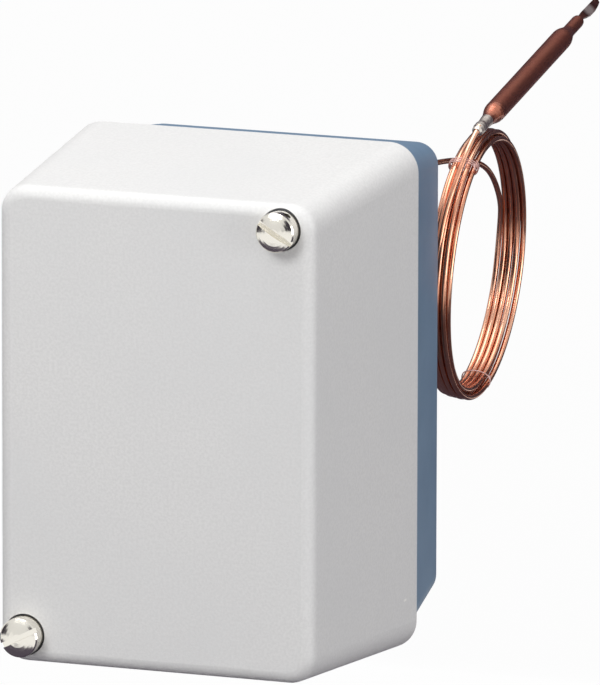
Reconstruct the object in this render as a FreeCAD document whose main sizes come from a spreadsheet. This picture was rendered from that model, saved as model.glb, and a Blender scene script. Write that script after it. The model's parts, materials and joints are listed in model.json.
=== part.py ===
"""Capillary temperature monitor: drafted cover, base tray, snap switch mechanism and sensor coil.

Frame: X right, Y back, Z up, millimetres. The origin is the centre of the tray's back face,
and that face is the plane Y = 0. Depths below are measured forwards from it, towards -Y.
"""
import FreeCAD, Part
import math
import os
import Sketcher

Vector = FreeCAD.Vector
Rotation = FreeCAD.Rotation
Placement = FreeCAD.Placement

doc = FreeCAD.newDocument("TemperatureMonitor")
sheet = doc.addObject("Spreadsheet::Sheet", "Sizes")

# Driving sizes
SIZES = {
    # tray
    "back_inset": 5.75,
    "back_corner": 5.3,
    "tray_wall": 3.6,
    "tray_floor": 3.5,
    "tray_corner": 5.4,
    "tongue": 2.5,
    "wall_hole_r": 2.25,
    "wall_hole_seat_r": 4.8,
    "wall_hole_seat_deep": 1.0,
    "wall_hole_pitch": 90.0,
    # cover
    "rim_width": 85.0,
    "rim_height": 120.0,
    "rim_corner": 7.0,
    "rim_depth": 30.0,
    "cover_depth": 60.0,
    "cover_draft": 4.0,
    "cover_front_corner": 6.4,
    "cover_front_edge": 3.0,
    "cover_wall": 4.0,
    "cover_wall_front": 3.0,
    "skirt_wall": 1.3,
    "skirt_deep": 4.0,
    "skirt_gap": 0.2,
    "seal_width": 1.6,
    # cover screws and their posts
    "screw_right_inset": 12.1,
    "screw_top_inset": 9.8,
    "screw_left_inset": 10.3,
    "screw_low_inset": 10.6,
    "post_r": 4.9,
    "post_gap": 0.3,
    "post_bore_r": 2.9,
    "recess_r": 4.95,
    "recess_deep": 1.2,
    "rib": 1.8,
    "screw_head_r": 4.6,
    "screw_head_tall": 5.2,
    "screw_dome": 0.8,
    "screw_edge": 0.3,
    "screw_shank_r": 2.5,
    "screw_slot": 1.25,
    "screw_slot_deep": 1.9,
    "seal_hole_r": 0.9,
    "washer_r": 4.8,
    "washer_thick": 0.8,
    "insert_r": 3.5,
    "insert_long": 10.0,
    "boss_r": 5.0,
    "running": 0.06,
    "fit_gap": 0.05,
    # capillary bush in the tray's floor
    "bush_inset": 19.0,
    "bush_z": 42.5,
    "bush_r": 2.6,
    "bush_flange_r": 3.6,
    "bush_flange": 1.0,
    "capillary_r": 0.63,
    # mechanism frame, folded from sheet
    "frame_sheet": 1.5,
    "frame_width": 44.0,
    "frame_low": 14.0,
    "frame_high": 38.0,
    "frame_stand": 8.0,
    "frame_deep": 41.0,
    "frame_bend": 1.0,
    "foot_inset": 6.0,
    "foot_low": 9.0,
    "foot_high": 31.0,
    "foot_r": 4.0,
    "foot_pilot_r": 1.4,
    "small_screw_r": 1.5,
    "small_head_r": 2.9,
    "small_head": 2.0,
    "small_slot": 0.8,
    # pressure capsule and its pin
    "axis_z": 10.0,
    "capsule_r": 13.0,
    "capsule_thick": 7.5,
    "capsule_rim": 1.4,
    "capsule_face_r": 10.0,
    "stud_r": 4.0,
    "stud_long": 4.2,
    "nut_flats": 11.0,
    "nut_thick": 3.0,
    "pin_r": 3.2,
    "pin_long": 5.0,
    "contact_gap": 0.2,
    # lever and its pivot
    "pivot_z": 8.0,
    "pivot_r": 1.5,
    "lever_sheet": 2.0,
    "lever_width": 30.0,
    "lever_tip_width": 9.0,
    "lever_reach": 41.5,
    "lever_below": 4.0,
    "ear_deep": 6.0,
    "trip_reach": 38.0,
    "trip_r": 1.5,
    # range spring, its nut, the spindle and the dial
    "spring_r": 6.2,
    "spring_wire_r": 0.8,
    "spring_pitch": 3.7,
    "spring_turns": 4.0,
    "spring_travel": 1.1,
    "cup_r": 8.0,
    "cup_thick": 2.8,
    "cup_ear": 6.0,
    "spindle_r": 2.5,
    "spindle_inside": 16.0,
    "bridge_low": 2.0,
    "bridge_high": 22.0,
    "bridge_tab": 8.0,
    "bridge_deep": 38.0,
    "bridge_bush_r": 4.0,
    "dial_r": 17.0,
    "dial_thick": 6.0,
    "dial_gap": 3.0,
    "dial_hub_r": 6.0,
    "dial_groove_r": 1.0,
    "dial_grooves": 24.0,
    "stop_r": 1.0,
    "stop_reach": 9.0,
    # snap switch
    "switch_wide": 27.8,
    "switch_deep": 15.9,
    "switch_thick": 10.3,
    "switch_hole_pitch": 22.2,
    "switch_hole_r": 1.55,
    "plunger_r": 1.6,
    "plunger_out": 2.0,
    "tab_wide": 4.8,
    "tab_long": 7.0,
    "tab_thick": 0.8,
    "tab_pitch": 8.5,
    # terminals
    "block_inset": 34.5,
    "block_z": 32.5,
    "block_wide": 42.0,
    "block_high": 13.0,
    "block_deep": 18.0,
    "block_end": 6.0,
    "way_wall": 3.0,
    "cage_high": 8.0,
    "cage_deep": 9.0,
    "cage_wall": 1.3,
    "terminal_screw_r": 1.75,
    "terminal_head_r": 2.7,
    "earth_inset": 7.0,
    "earth_z": 20.0,
    "earth_tab": 11.0,
    "earth_screw_r": 2.0,
    "earth_head_r": 3.8,
    # cable gland
    "gland_inset": 26.5,
    "gland_depth": 17.0,
    "gland_pad_z": 58.7,
    "gland_pad_r": 11.0,
    "gland_pad_thick": 8.2,
    "gland_thread_r": 8.0,
    "gland_flats": 19.0,
    "gland_hex": 2.7,
    "gland_nut_r": 9.5,
    "gland_nut_long": 6.6,
    "gland_bore_r": 5.0,
    "gland_seal_r": 4.0,
    "locknut_flats": 20.0,
    "locknut_thick": 3.0,
    # capillary coil, bulb and ties
    "coil_x": 33.7,
    "coil_y": 35.4,
    "coil_z": 19.05,
    "coil_inner_r": 28.0,
    "coil_outer_r": 33.1,
    "coil_wide": 8.0,
    "solder_r": 1.5,
    "solder_long": 8.0,
    "solder_grip": 2.0,
    "bulb_r": 2.55,
    "bulb_long": 61.5,
    "bulb_swage": 6.0,
    "neck_r": 1.55,
    "neck_long": 8.0,
    "tail_wide": 2.4,
    "tail_waist": 1.3,
    "tail_thick": 0.9,
    "tail_long": 13.5,
    "tie_wire": 0.35,
    "tie_upper_turn": 301.0,
    "tie_lower_turn": 104.0,
    # leads from the switch to the terminals
    "receptacle_wide": 6.4,
    "receptacle_deep": 8.0,
    "receptacle_thick": 3.4,
    "switch_lead_r": 0.9,
    # lengths of small fasteners
    "switch_nut_flats": 5.5,
    "switch_nut_thick": 2.2,
    "switch_screw_r": 1.45,
    "block_seat": 6.0,
    "block_screw_grip": 2.4,
    "block_screw_hole_r": 1.6,
    "block_sink_r": 3.1,
    "terminal_screw_long": 4.4,
    "earth_screw_long": 4.0,
    "dial_screw_long": 4.0,
    "dial_screw_r": 1.5,
    "dial_screw_head_r": 2.7,
    "cup_spigot": 2.5,
}
for row, (alias, value) in enumerate(SIZES.items(), start=1):
    sheet.set("A%d" % row, alias)
    sheet.set("B%d" % row, str(value))
    sheet.setAlias("B%d" % row, alias)
doc.recompute()


class Size:
    """A length that knows its number and the sheet formula that gives it."""

    def __init__(self, value, text):
        self.value = value
        self.text = text

    def __add__(self, other):
        other = size(other)
        return Size(self.value + other.value, "(%s + %s)" % (self.text, other.text))

    def __sub__(self, other):
        other = size(other)
        return Size(self.value - other.value, "(%s - %s)" % (self.text, other.text))

    def __mul__(self, other):
        other = size(other)
        return Size(self.value * other.value, "(%s * %s)" % (self.text, other.text))

    def __truediv__(self, other):
        other = size(other)
        return Size(self.value / other.value, "(%s / %s)" % (self.text, other.text))

    def __neg__(self):
        return Size(-self.value, "(0 - %s)" % self.text)

    def __radd__(self, other):
        return size(other) + self

    def __rsub__(self, other):
        return size(other) - self

    def __rmul__(self, other):
        return size(other) * self


def size(thing):
    """Return a plain number or a Size as a Size."""
    if isinstance(thing, Size):
        return thing
    return Size(float(thing), repr(float(thing)))


def sized(alias):
    """Return the sheet's size of that name."""
    return Size(float(sheet.get(alias)), "Sizes." + alias)


def tangent(angle):
    """Return the tangent of an angle in degrees."""
    return Size(math.tan(math.radians(angle.value)), "tan(%s * 1 deg)" % angle.text)


S = {alias: sized(alias) for alias in SIZES}
NODES = []


def bind(thing, prop, amount):
    """Tie one property to the sheet."""
    thing.setExpression(prop, size(amount).text)


def place(thing, x=0.0, y=0.0, z=0.0, turn=None):
    """Set where a piece stands, from the sheet's sizes."""
    thing.Placement = Placement(Vector(size(x).value, size(y).value, size(z).value), turn or Rotation())
    bind(thing, "Placement.Base.x", x)
    bind(thing, "Placement.Base.y", y)
    bind(thing, "Placement.Base.z", z)
    return thing


def node(thing, label):
    """Name a finished sub-part."""
    thing.Label = label
    NODES.append(thing)
    return thing


FORWARDS = Rotation(Vector(1, 0, 0), 90)
BACKWARDS = Rotation(Vector(1, 0, 0), -90)
RIGHTWARDS = Rotation(Vector(0, 1, 0), 90)
UPRIGHT = Vector(0, 0, 1)
ACROSS = Vector(0, 1, 0)


def cylinder(name, radius, length, x=0.0, depth=0.0, z=0.0, turn=FORWARDS):
    """A round bar that starts at a depth and runs forwards, or as turned."""
    bar = doc.addObject("Part::Cylinder", name)
    bind(bar, "Radius", radius)
    bind(bar, "Height", length)
    return place(bar, x, -size(depth), z, turn)


def block(name, x, depth, z, wide, deep, high):
    """A box given by its least x, its nearest depth to the back, its least z and its sides."""
    made = doc.addObject("Part::Box", name)
    bind(made, "Length", wide)
    bind(made, "Width", deep)
    bind(made, "Height", high)
    return place(made, x, -(size(depth) + deep), z)


def cut(name, base, *tools):
    """Take one or more tools out of a base."""
    tool = tools[0] if len(tools) == 1 else fuse(name + "_tools", *tools)
    made = doc.addObject("Part::Cut", name)
    made.Base = base
    made.Tool = tool
    return made


def fuse(name, *pieces):
    """Join pieces into one shape."""
    made = doc.addObject("Part::MultiFuse", name)
    made.Shapes = list(pieces)
    return made


def group(name, *pieces):
    """Keep like pieces as separate solids of one sub-part."""
    made = doc.addObject("Part::Compound", name)
    made.Links = list(pieces)
    return made


def plane(body, role):
    """Find one of a body's own origin planes."""
    for feature in body.Origin.OriginFeatures:
        if feature.Role == role:
            return feature


def sketch(body, name, role="XZ_Plane", depth=0.0):
    """Start a sketch on a body's plane, moved along the plane's normal."""
    made = body.newObject("Sketcher::SketchObject", name)
    made.AttachmentSupport = [(plane(body, role), "")]
    made.MapMode = "FlatFace"
    made.AttachmentOffset = Placement(Vector(0, 0, size(depth).value), Rotation())
    bind(made, "AttachmentOffset.Base.z", depth)
    return made


def measure(drawing, kind, first, second, amount):
    """Add one dimension between two points, tied to the sheet."""
    if amount.value < 0:
        first, second, amount = second, first, -amount
    index = drawing.addConstraint(Sketcher.Constraint(kind, *first, *second, amount.value))
    drawing.setExpression("Constraints[%d]" % index, amount.text)


def pin(drawing, index, end, x, y):
    """Hold one point of a drawing at its place."""
    origin = (-1, 1)
    for kind, axis, amount in (("DistanceX", -2, size(x)), ("DistanceY", -1, size(y))):
        if abs(amount.value) < 1e-9:
            drawing.addConstraint(Sketcher.Constraint("PointOnObject", index, end, axis))
        else:
            measure(drawing, kind, origin, (index, end), amount)


def polygon(drawing, points):
    """Draw a closed outline of straight edges."""
    first = drawing.GeometryCount
    spots = [Vector(size(x).value, size(y).value, 0) for x, y in points]
    total = len(points)
    for i in range(total):
        drawing.addGeometry(Part.LineSegment(spots[i], spots[(i + 1) % total]), False)
    for i in range(total):
        drawing.addConstraint(Sketcher.Constraint("Coincident", first + i, 2, first + (i + 1) % total, 1))
    for i, (x, y) in enumerate(points):
        pin(drawing, first + i, 1, x, y)


def circle(drawing, x, y, radius):
    """Draw a circle."""
    radius = size(radius)
    spot = Vector(size(x).value, size(y).value, 0)
    index = drawing.addGeometry(Part.Circle(spot, Vector(0, 0, 1), radius.value), False)
    pin(drawing, index, 3, x, y)
    held = drawing.addConstraint(Sketcher.Constraint("Radius", index, radius.value))
    drawing.setExpression("Constraints[%d]" % held, radius.text)


def rounded(drawing, width, height, corner):
    """Draw a rectangle with round corners about the origin."""
    width, height, corner = size(width), size(height), size(corner)
    half_x = width.value / 2 - corner.value
    half_y = height.value / 2 - corner.value
    centres = ((half_x, half_y), (-half_x, half_y), (-half_x, -half_y), (half_x, -half_y))
    first = drawing.GeometryCount
    for i, (x, y) in enumerate(centres):
        start = i * math.pi / 2
        bend = Part.Circle(Vector(x, y, 0), Vector(0, 0, 1), corner.value)
        drawing.addGeometry(Part.ArcOfCircle(bend, start, start + math.pi / 2), False)
        here = Vector(x + corner.value * math.cos(start + math.pi / 2),
                      y + corner.value * math.sin(start + math.pi / 2), 0)
        after_x, after_y = centres[(i + 1) % 4]
        there = Vector(after_x + corner.value * math.cos(start + math.pi / 2),
                       after_y + corner.value * math.sin(start + math.pi / 2), 0)
        drawing.addGeometry(Part.LineSegment(here, there), False)
    for i in range(4):
        arc, line = first + 2 * i, first + 2 * i + 1
        after = first + 2 * ((i + 1) % 4)
        drawing.addConstraint(Sketcher.Constraint("Tangent", arc, 2, line, 1))
        drawing.addConstraint(Sketcher.Constraint("Tangent", line, 2, after, 1))
        drawing.addConstraint(Sketcher.Constraint("Horizontal" if i % 2 == 0 else "Vertical", line))
        if i:
            drawing.addConstraint(Sketcher.Constraint("Equal", first, arc))
    held = drawing.addConstraint(Sketcher.Constraint("Radius", first, corner.value))
    drawing.setExpression("Constraints[%d]" % held, corner.text)
    measure(drawing, "DistanceX", (first + 2, 3), (first, 3), width - 2 * corner)
    measure(drawing, "DistanceY", (first + 6, 3), (first, 3), height - 2 * corner)
    drawing.addConstraint(Sketcher.Constraint("Symmetric", first, 3, first + 4, 3, -1, 1))


def pad(body, drawing, length, both=False):
    """Raise a drawing into a solid."""
    made = body.newObject("PartDesign::Pad", drawing.Name + "_pad")
    made.Profile = drawing
    bind(made, "Length", length)
    made.Midplane = both
    drawing.Visibility = False
    body.Tip = made
    return made


def turned(name, profile, x=0.0, y=0.0, z=0.0, turn=None):
    """Turn a profile of (radius, height) points about the body's Y axis."""
    body = doc.addObject("PartDesign::Body", name)
    drawing = sketch(body, name + "_profile", "XY_Plane")
    polygon(drawing, profile)
    made = body.newObject("PartDesign::Revolution", name + "_turning")
    made.Profile = drawing
    made.ReferenceAxis = (drawing, ["V_Axis"])
    made.Angle = 360
    body.Tip = made
    return place(body, x, y, z, turn)


def prism(name, draw, depth, length, role="XZ_Plane"):
    """Pad whatever a drawing function draws."""
    body = doc.addObject("PartDesign::Body", name)
    drawing = sketch(body, name + "_outline", role, depth)
    draw(drawing)
    pad(body, drawing, length)
    return body


def loft(name, near, far, deep_near, deep_far):
    """Loft between two round-cornered outlines at two depths."""
    body = doc.addObject("PartDesign::Body", name)
    first = sketch(body, name + "_near", "XZ_Plane", deep_near)
    rounded(first, *near)
    second = sketch(body, name + "_far", "XZ_Plane", deep_far)
    rounded(second, *far)
    made = body.newObject("PartDesign::AdditiveLoft", name + "_loft")
    made.Profile = first
    made.Sections = [second]
    made.Ruled = True
    body.Tip = made
    return body


def edges_where(shape, test, along):
    """Name the edges whose every end passes a test, or only those among them along one way."""
    found = []
    for i, edge in enumerate(shape.Edges, start=1):
        ends = [vertex.Point for vertex in edge.Vertexes]
        if not all(test(end) for end in ends):
            continue
        if along and (ends[0] - ends[-1]).cross(along).Length > 1e-4:
            continue
        found.append("Edge%d" % i)
    return found


def soften(body, name, radius, test, along=None):
    """Round the edges that pass a test."""
    doc.recompute()
    before = body.Tip
    found = edges_where(before.Shape, test, along)
    made = body.newObject("PartDesign::Fillet", name)
    made.Base = (before, found)
    bind(made, "Radius", radius)
    body.Tip = made
    doc.recompute()
    return made


def hexagon(drawing, flats, x=0.0, y=0.0, start=0):
    """Draw a hexagon by its width over flats, with its first corner at a start angle."""
    half = size(flats) / 2
    side = half * (2 / math.sqrt(3))
    points = []
    for i in range(6):
        angle = math.radians(start + 60 * i)
        points.append((x + side * math.cos(angle), y + side * math.sin(angle)))
    polygon(drawing, points)


def tube(name, route, radius):
    """A round tube or wire: straight runs through chosen points, joined by the largest arcs that fit."""
    points = [Vector(*(size(value).value for value in point)) for point in route]
    ahead = (points[1] - points[0]).normalize()
    ring = Part.Circle(points[0], ahead, size(radius).value).toShape()
    faces = [Part.Face(Part.Wire([ring]))]
    here = points[0]
    radii = []
    length = 0.0
    for before, corner, after in zip(points, points[1:], points[2:]):
        way = (corner - before).normalize()
        ahead = (after - corner).normalize()
        turn = way.getAngle(ahead)
        trim = 0.45 * min((before - corner).Length, (after - corner).Length)
        bend = trim / math.tan(turn / 2)
        run = corner - way * trim - here
        faces.append(ring.extrude(run))
        ring = ring.translated(run)
        here = here + run
        axis = way.cross(ahead).normalize()
        centre = here + axis.cross(way) * bend
        faces.append(ring.revolve(centre, axis, math.degrees(turn)))
        ring = ring.rotated(centre, axis, math.degrees(turn))
        here = corner + ahead * trim
        radii.append(bend)
        length += run.Length + bend * turn
    run = points[-1] - here
    faces.append(ring.extrude(run))
    ring = ring.translated(run)
    faces.append(Part.Face(Part.Wire([ring])))
    length += run.Length
    skin = Part.makeShell(faces)
    skin.sewShape()
    solid = Part.makeSolid(skin)
    if solid.Volume < 0:
        solid.reverse()
    share = solid.Volume / (math.pi * size(radius).value ** 2 * length)
    print("%s: length %.1f, volume share %.4f, radii %s"
          % (name, length, share, ", ".join("%.0f" % value for value in radii)))
    made = doc.addObject("Part::Feature", name)
    made.Shape = solid
    return made


# Depths that several pieces share
front_depth = S["rim_depth"] + S["cover_depth"]
tongue_depth = S["rim_depth"] + S["tongue"]
ledge_depth = S["rim_depth"] + S["skirt_deep"]
inner_front = front_depth - S["cover_wall_front"]
lean = tangent(S["cover_draft"])
front_width = S["rim_width"] - 2 * S["cover_depth"] * lean
front_height = S["rim_height"] - 2 * S["cover_depth"] * lean
skirt_width = S["rim_width"] - 2 * S["skirt_wall"]
skirt_height = S["rim_height"] - 2 * S["skirt_wall"]
back_width = S["rim_width"] - 2 * S["back_inset"]
back_height = S["rim_height"] - 2 * S["back_inset"]
mouth_width = skirt_width - 2 * S["skirt_gap"]
mouth_height = skirt_height - 2 * S["skirt_gap"]
half_rim = S["rim_width"] / 2
half_rim_high = S["rim_height"] / 2
screw_spots = (
    ("upper", half_rim - S["screw_right_inset"], half_rim_high - S["screw_top_inset"]),
    ("lower", S["screw_left_inset"] - half_rim, S["screw_low_inset"] - half_rim_high),
)
bush_x = half_rim - S["bush_inset"]
block_x = half_rim - S["block_inset"]
gland_x = half_rim - S["gland_inset"]
half_frame = S["frame_width"] / 2
foot_x = half_frame - S["foot_inset"]
earth_x = half_frame - S["earth_inset"]


# Base tray
def build_tray():
    """The pigeon-blue moulded tray: drafted walls, floor, bosses and holes."""
    outer = loft("tray_outer", (back_width, back_height, S["back_corner"]),
                 (mouth_width, mouth_height, S["tray_corner"]), 0.0, tongue_depth)
    flare = (mouth_width - back_width) / tongue_depth
    wide = back_width + flare * S["tray_floor"] - 2 * S["tray_wall"]
    flare_up = (mouth_height - back_height) / tongue_depth
    high = back_height + flare_up * S["tray_floor"] - 2 * S["tray_wall"]
    overrun = 1.0
    core = loft("tray_core", (wide, high, 2.2), (mouth_width - 2 * S["tray_wall"] + flare * overrun,
                mouth_height - 2 * S["tray_wall"] + flare_up * overrun, 2.4),
                S["tray_floor"], tongue_depth + overrun)
    bosses = []
    holes = []
    for label, x, z in screw_spots:
        bosses.append(cylinder("boss_" + label, S["boss_r"], tongue_depth, x, 0.0, z))
        start = tongue_depth - S["insert_long"] - 1.5
        holes.append(cylinder("boss_hole_" + label, S["insert_r"] + S["fit_gap"],
                              S["insert_long"] + 3.0, x, start, z))
    for label, x, z in foot_spots():
        bosses.append(cylinder("foot_" + label, S["foot_r"], S["frame_stand"], x, 0.0, z))
        holes.append(cylinder("foot_hole_" + label, S["foot_pilot_r"], S["frame_stand"], x, 2.0, z))
    for side in (-1, 1):
        z = side * S["wall_hole_pitch"] / 2
        name = "high" if side > 0 else "low"
        holes.append(cylinder("wall_hole_" + name, S["wall_hole_r"], S["tray_floor"] + 2.0, 0.0, -1.0, z))
        holes.append(cylinder("wall_seat_" + name, S["wall_hole_seat_r"], 4.0, 0.0,
                              S["tray_floor"] - S["wall_hole_seat_deep"], z))
    for label, x in block_screw_spots():
        holes.append(cylinder("block_pilot_" + label, S["foot_pilot_r"], S["tray_floor"], x, 0.8, -S["block_z"]))
    holes.append(cylinder("bush_hole", S["bush_r"] + S["fit_gap"], S["tray_floor"] + 2.0,
                          bush_x, -1.0, S["bush_z"]))
    pad_z = -S["gland_pad_z"]
    gland_pad = cylinder("gland_pad", S["gland_pad_r"], S["gland_pad_thick"], -gland_x,
                         S["gland_depth"], pad_z, Rotation())
    bosses.append(gland_pad)
    holes.append(cylinder("gland_hole", S["gland_thread_r"] + S["fit_gap"], S["gland_pad_thick"] + 4.0,
                          -gland_x, S["gland_depth"], pad_z - 2.0, Rotation()))
    cavity = cut("tray_cavity", core, *bosses)
    outside = fuse("tray_outside", outer, gland_pad)
    walls = cut("tray_walls", outside, cavity)
    return cut("tray", walls, *holes)


def foot_spots():
    """The four feet that carry the mechanism frame."""
    for side, name in ((-1, "left"), (1, "right")):
        yield name + "_low", side * foot_x, -S["foot_low"]
        yield name + "_high", side * foot_x, S["foot_high"]


def block_screw_spots():
    """The two screws that hold the terminal block to the floor."""
    reach = S["block_wide"] / 2 - 3.4
    yield "left", block_x - reach
    yield "right", block_x + reach


node(build_tray(), "base_tray")


# Cover
def build_cover():
    """The grey moulded cover: deep drafted box, soft front edge, screw posts and skirt."""
    outer = loft("cover_outer", (S["rim_width"], S["rim_height"], S["rim_corner"]),
                 (front_width, front_height, S["cover_front_corner"]), S["rim_depth"], front_depth)
    soften(outer, "cover_edge", S["cover_front_edge"], lambda p: abs(p.y + front_depth.value) < 1e-4)
    rim_inside = (S["rim_width"] - 2 * S["cover_wall"], S["rim_height"] - 2 * S["cover_wall"], 3.2)
    front_inside = (front_width + 2 * lean * S["cover_wall_front"] - 2 * S["cover_wall_front"],
                    front_height + 2 * lean * S["cover_wall_front"] - 2 * S["cover_wall_front"], 3.4)
    core = loft("cover_core", rim_inside, front_inside, S["rim_depth"], inner_front)
    skirt_corner = S["rim_corner"] - S["skirt_wall"]
    skirt = prism("cover_skirt", lambda d: rounded(d, skirt_width, skirt_height, skirt_corner),
                  S["rim_depth"] - 1.0, S["skirt_deep"] + 1.0)
    posts = []
    bores = []
    post_start = tongue_depth + S["post_gap"]
    for label, x, z in screw_spots:
        sign = 1 if label == "upper" else -1
        posts.append(cylinder("post_" + label, S["post_r"], front_depth - post_start, x, post_start, z))
        reach = S["post_r"] + 8.0
        low_x = x if sign > 0 else x - reach
        low_z = z if sign > 0 else z - reach
        rib_deep = front_depth - ledge_depth
        posts.append(block("rib_side_" + label, low_x, ledge_depth, z - S["rib"] / 2, reach, rib_deep, S["rib"]))
        posts.append(block("rib_up_" + label, x - S["rib"] / 2, ledge_depth, low_z, S["rib"], rib_deep, reach))
        bores.append(cylinder("post_bore_" + label, S["post_bore_r"], front_depth, x, 1.0, z))
        bores.append(cylinder("recess_" + label, S["recess_r"], 10.0, x, front_depth - S["recess_deep"], z))
    cavity = cut("cover_cavity", fuse("cover_hollow", core, skirt), *posts)
    return cut("cover_shell", outer, cavity, *bores)


node(build_cover(), "cover")


# Seal between the tray's end face and the cover's ledge
def draw_seal(drawing):
    outer_w = mouth_width - 0.2
    outer_h = mouth_height - 0.2
    rounded(drawing, outer_w, outer_h, 5.2)
    rounded(drawing, outer_w - 2 * S["seal_width"], outer_h - 2 * S["seal_width"], 3.6)


node(prism("seal", draw_seal, tongue_depth, S["skirt_deep"] - S["tongue"]), "cover_seal")


# Cover screws, washers and inserts
head_base = front_depth - S["recess_deep"] + S["washer_thick"]
head_top = head_base + S["screw_head_tall"]
insert_end = tongue_depth - S["insert_long"]
slot_angles = {"upper": -31.0, "lower": 27.0}


def build_cover_screw(label, x, z):
    """A long fillister screw with a seal-wire hole through its head."""
    rim = S["screw_head_r"]
    face = rim - S["screw_edge"]
    dome = [(face * part, -head_top + S["screw_dome"] * part ** 2) for part in (1.0, 0.85, 0.7, 0.5, 0.25)]
    body = turned("screw_" + label, [
        (0.0, -insert_end + 0.5), (S["screw_shank_r"] - 0.4, -insert_end + 0.5),
        (S["screw_shank_r"], -insert_end - 0.3), (S["screw_shank_r"], -head_base), (rim, -head_base),
        (rim, -head_top + S["screw_dome"] + S["screw_edge"]), *dome, (0.0, -head_top)], x, 0.0, z)
    slot = doc.addObject("Part::Box", "screw_slot_" + label)
    bind(slot, "Length", 4 * rim)
    bind(slot, "Width", S["screw_slot_deep"] + 1.0)
    bind(slot, "Height", S["screw_slot"])
    angle = slot_angles[label]
    turn = Rotation(Vector(0, 1, 0), -angle)
    along = turn.multVec(Vector(1, 0, 0))
    upward = turn.multVec(Vector(0, 0, 1))
    place(slot, x - 2 * rim * along.x - S["screw_slot"] / 2 * upward.x, -(head_top + 1.0),
          z - 2 * rim * along.z - S["screw_slot"] / 2 * upward.z, turn)
    wire_depth = head_base + S["screw_head_tall"] * 0.44
    wire_turn = Rotation(Vector(0, 1, 0), -angle)
    way = wire_turn.multVec(Vector(0, 0, 1))
    wire = cylinder("seal_hole_" + label, S["seal_hole_r"], 4 * rim, x - 2 * rim * way.x, wire_depth,
                    z - 2 * rim * way.z, wire_turn)
    return cut("cover_screw_" + label + "_cut", body, slot, wire)


def washer(name, outer, inner, thick, x, depth, z):
    """A flat ring that faces forwards."""
    return cut(name, cylinder(name + "_disc", outer, thick, x, depth, z),
               cylinder(name + "_hole", inner, thick + 2.0, x, depth - 1.0, z))


washers = []
inserts = []
for label, x, z in screw_spots:
    node(build_cover_screw(label, x, z), "cover_screw_" + label)
    washers.append(washer("washer_" + label, S["washer_r"], S["screw_shank_r"] + 0.1, S["washer_thick"],
                          x, front_depth - S["recess_deep"], z))
    inserts.append(washer("insert_" + label, S["insert_r"], S["screw_shank_r"] + S["running"],
                          S["insert_long"], x, insert_end, z))
node(group("washer_pair", *washers), "screw_washers")
node(group("insert_pair", *inserts), "screw_inserts")


# Capillary bush
node(turned("bush", [
    (S["capillary_r"] + S["running"], 0.0), (S["bush_r"], 0.0), (S["bush_r"], -S["tray_floor"]),
    (S["bush_flange_r"], -S["tray_floor"]), (S["bush_flange_r"], -S["tray_floor"] - S["bush_flange"]),
    (S["capillary_r"] + S["running"], -S["tray_floor"] - S["bush_flange"])],
    bush_x, 0.0, S["bush_z"]), "capillary_bush")


# Mechanism frame
frame_top = S["frame_stand"] + S["frame_sheet"]
frame_front = S["frame_stand"] + S["frame_deep"]
lever_back = frame_top + S["capsule_thick"] + S["pin_long"] * 0.7
lever_front = lever_back + S["lever_sheet"]
pivot_depth = lever_back + S["lever_sheet"] / 2
bridge_depth = S["frame_stand"] + S["bridge_deep"]
switch_back = lever_front + S["plunger_out"] + 2.4
switch_top = S["frame_high"] - S["frame_sheet"]
switch_low = switch_top - S["switch_thick"]


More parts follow.
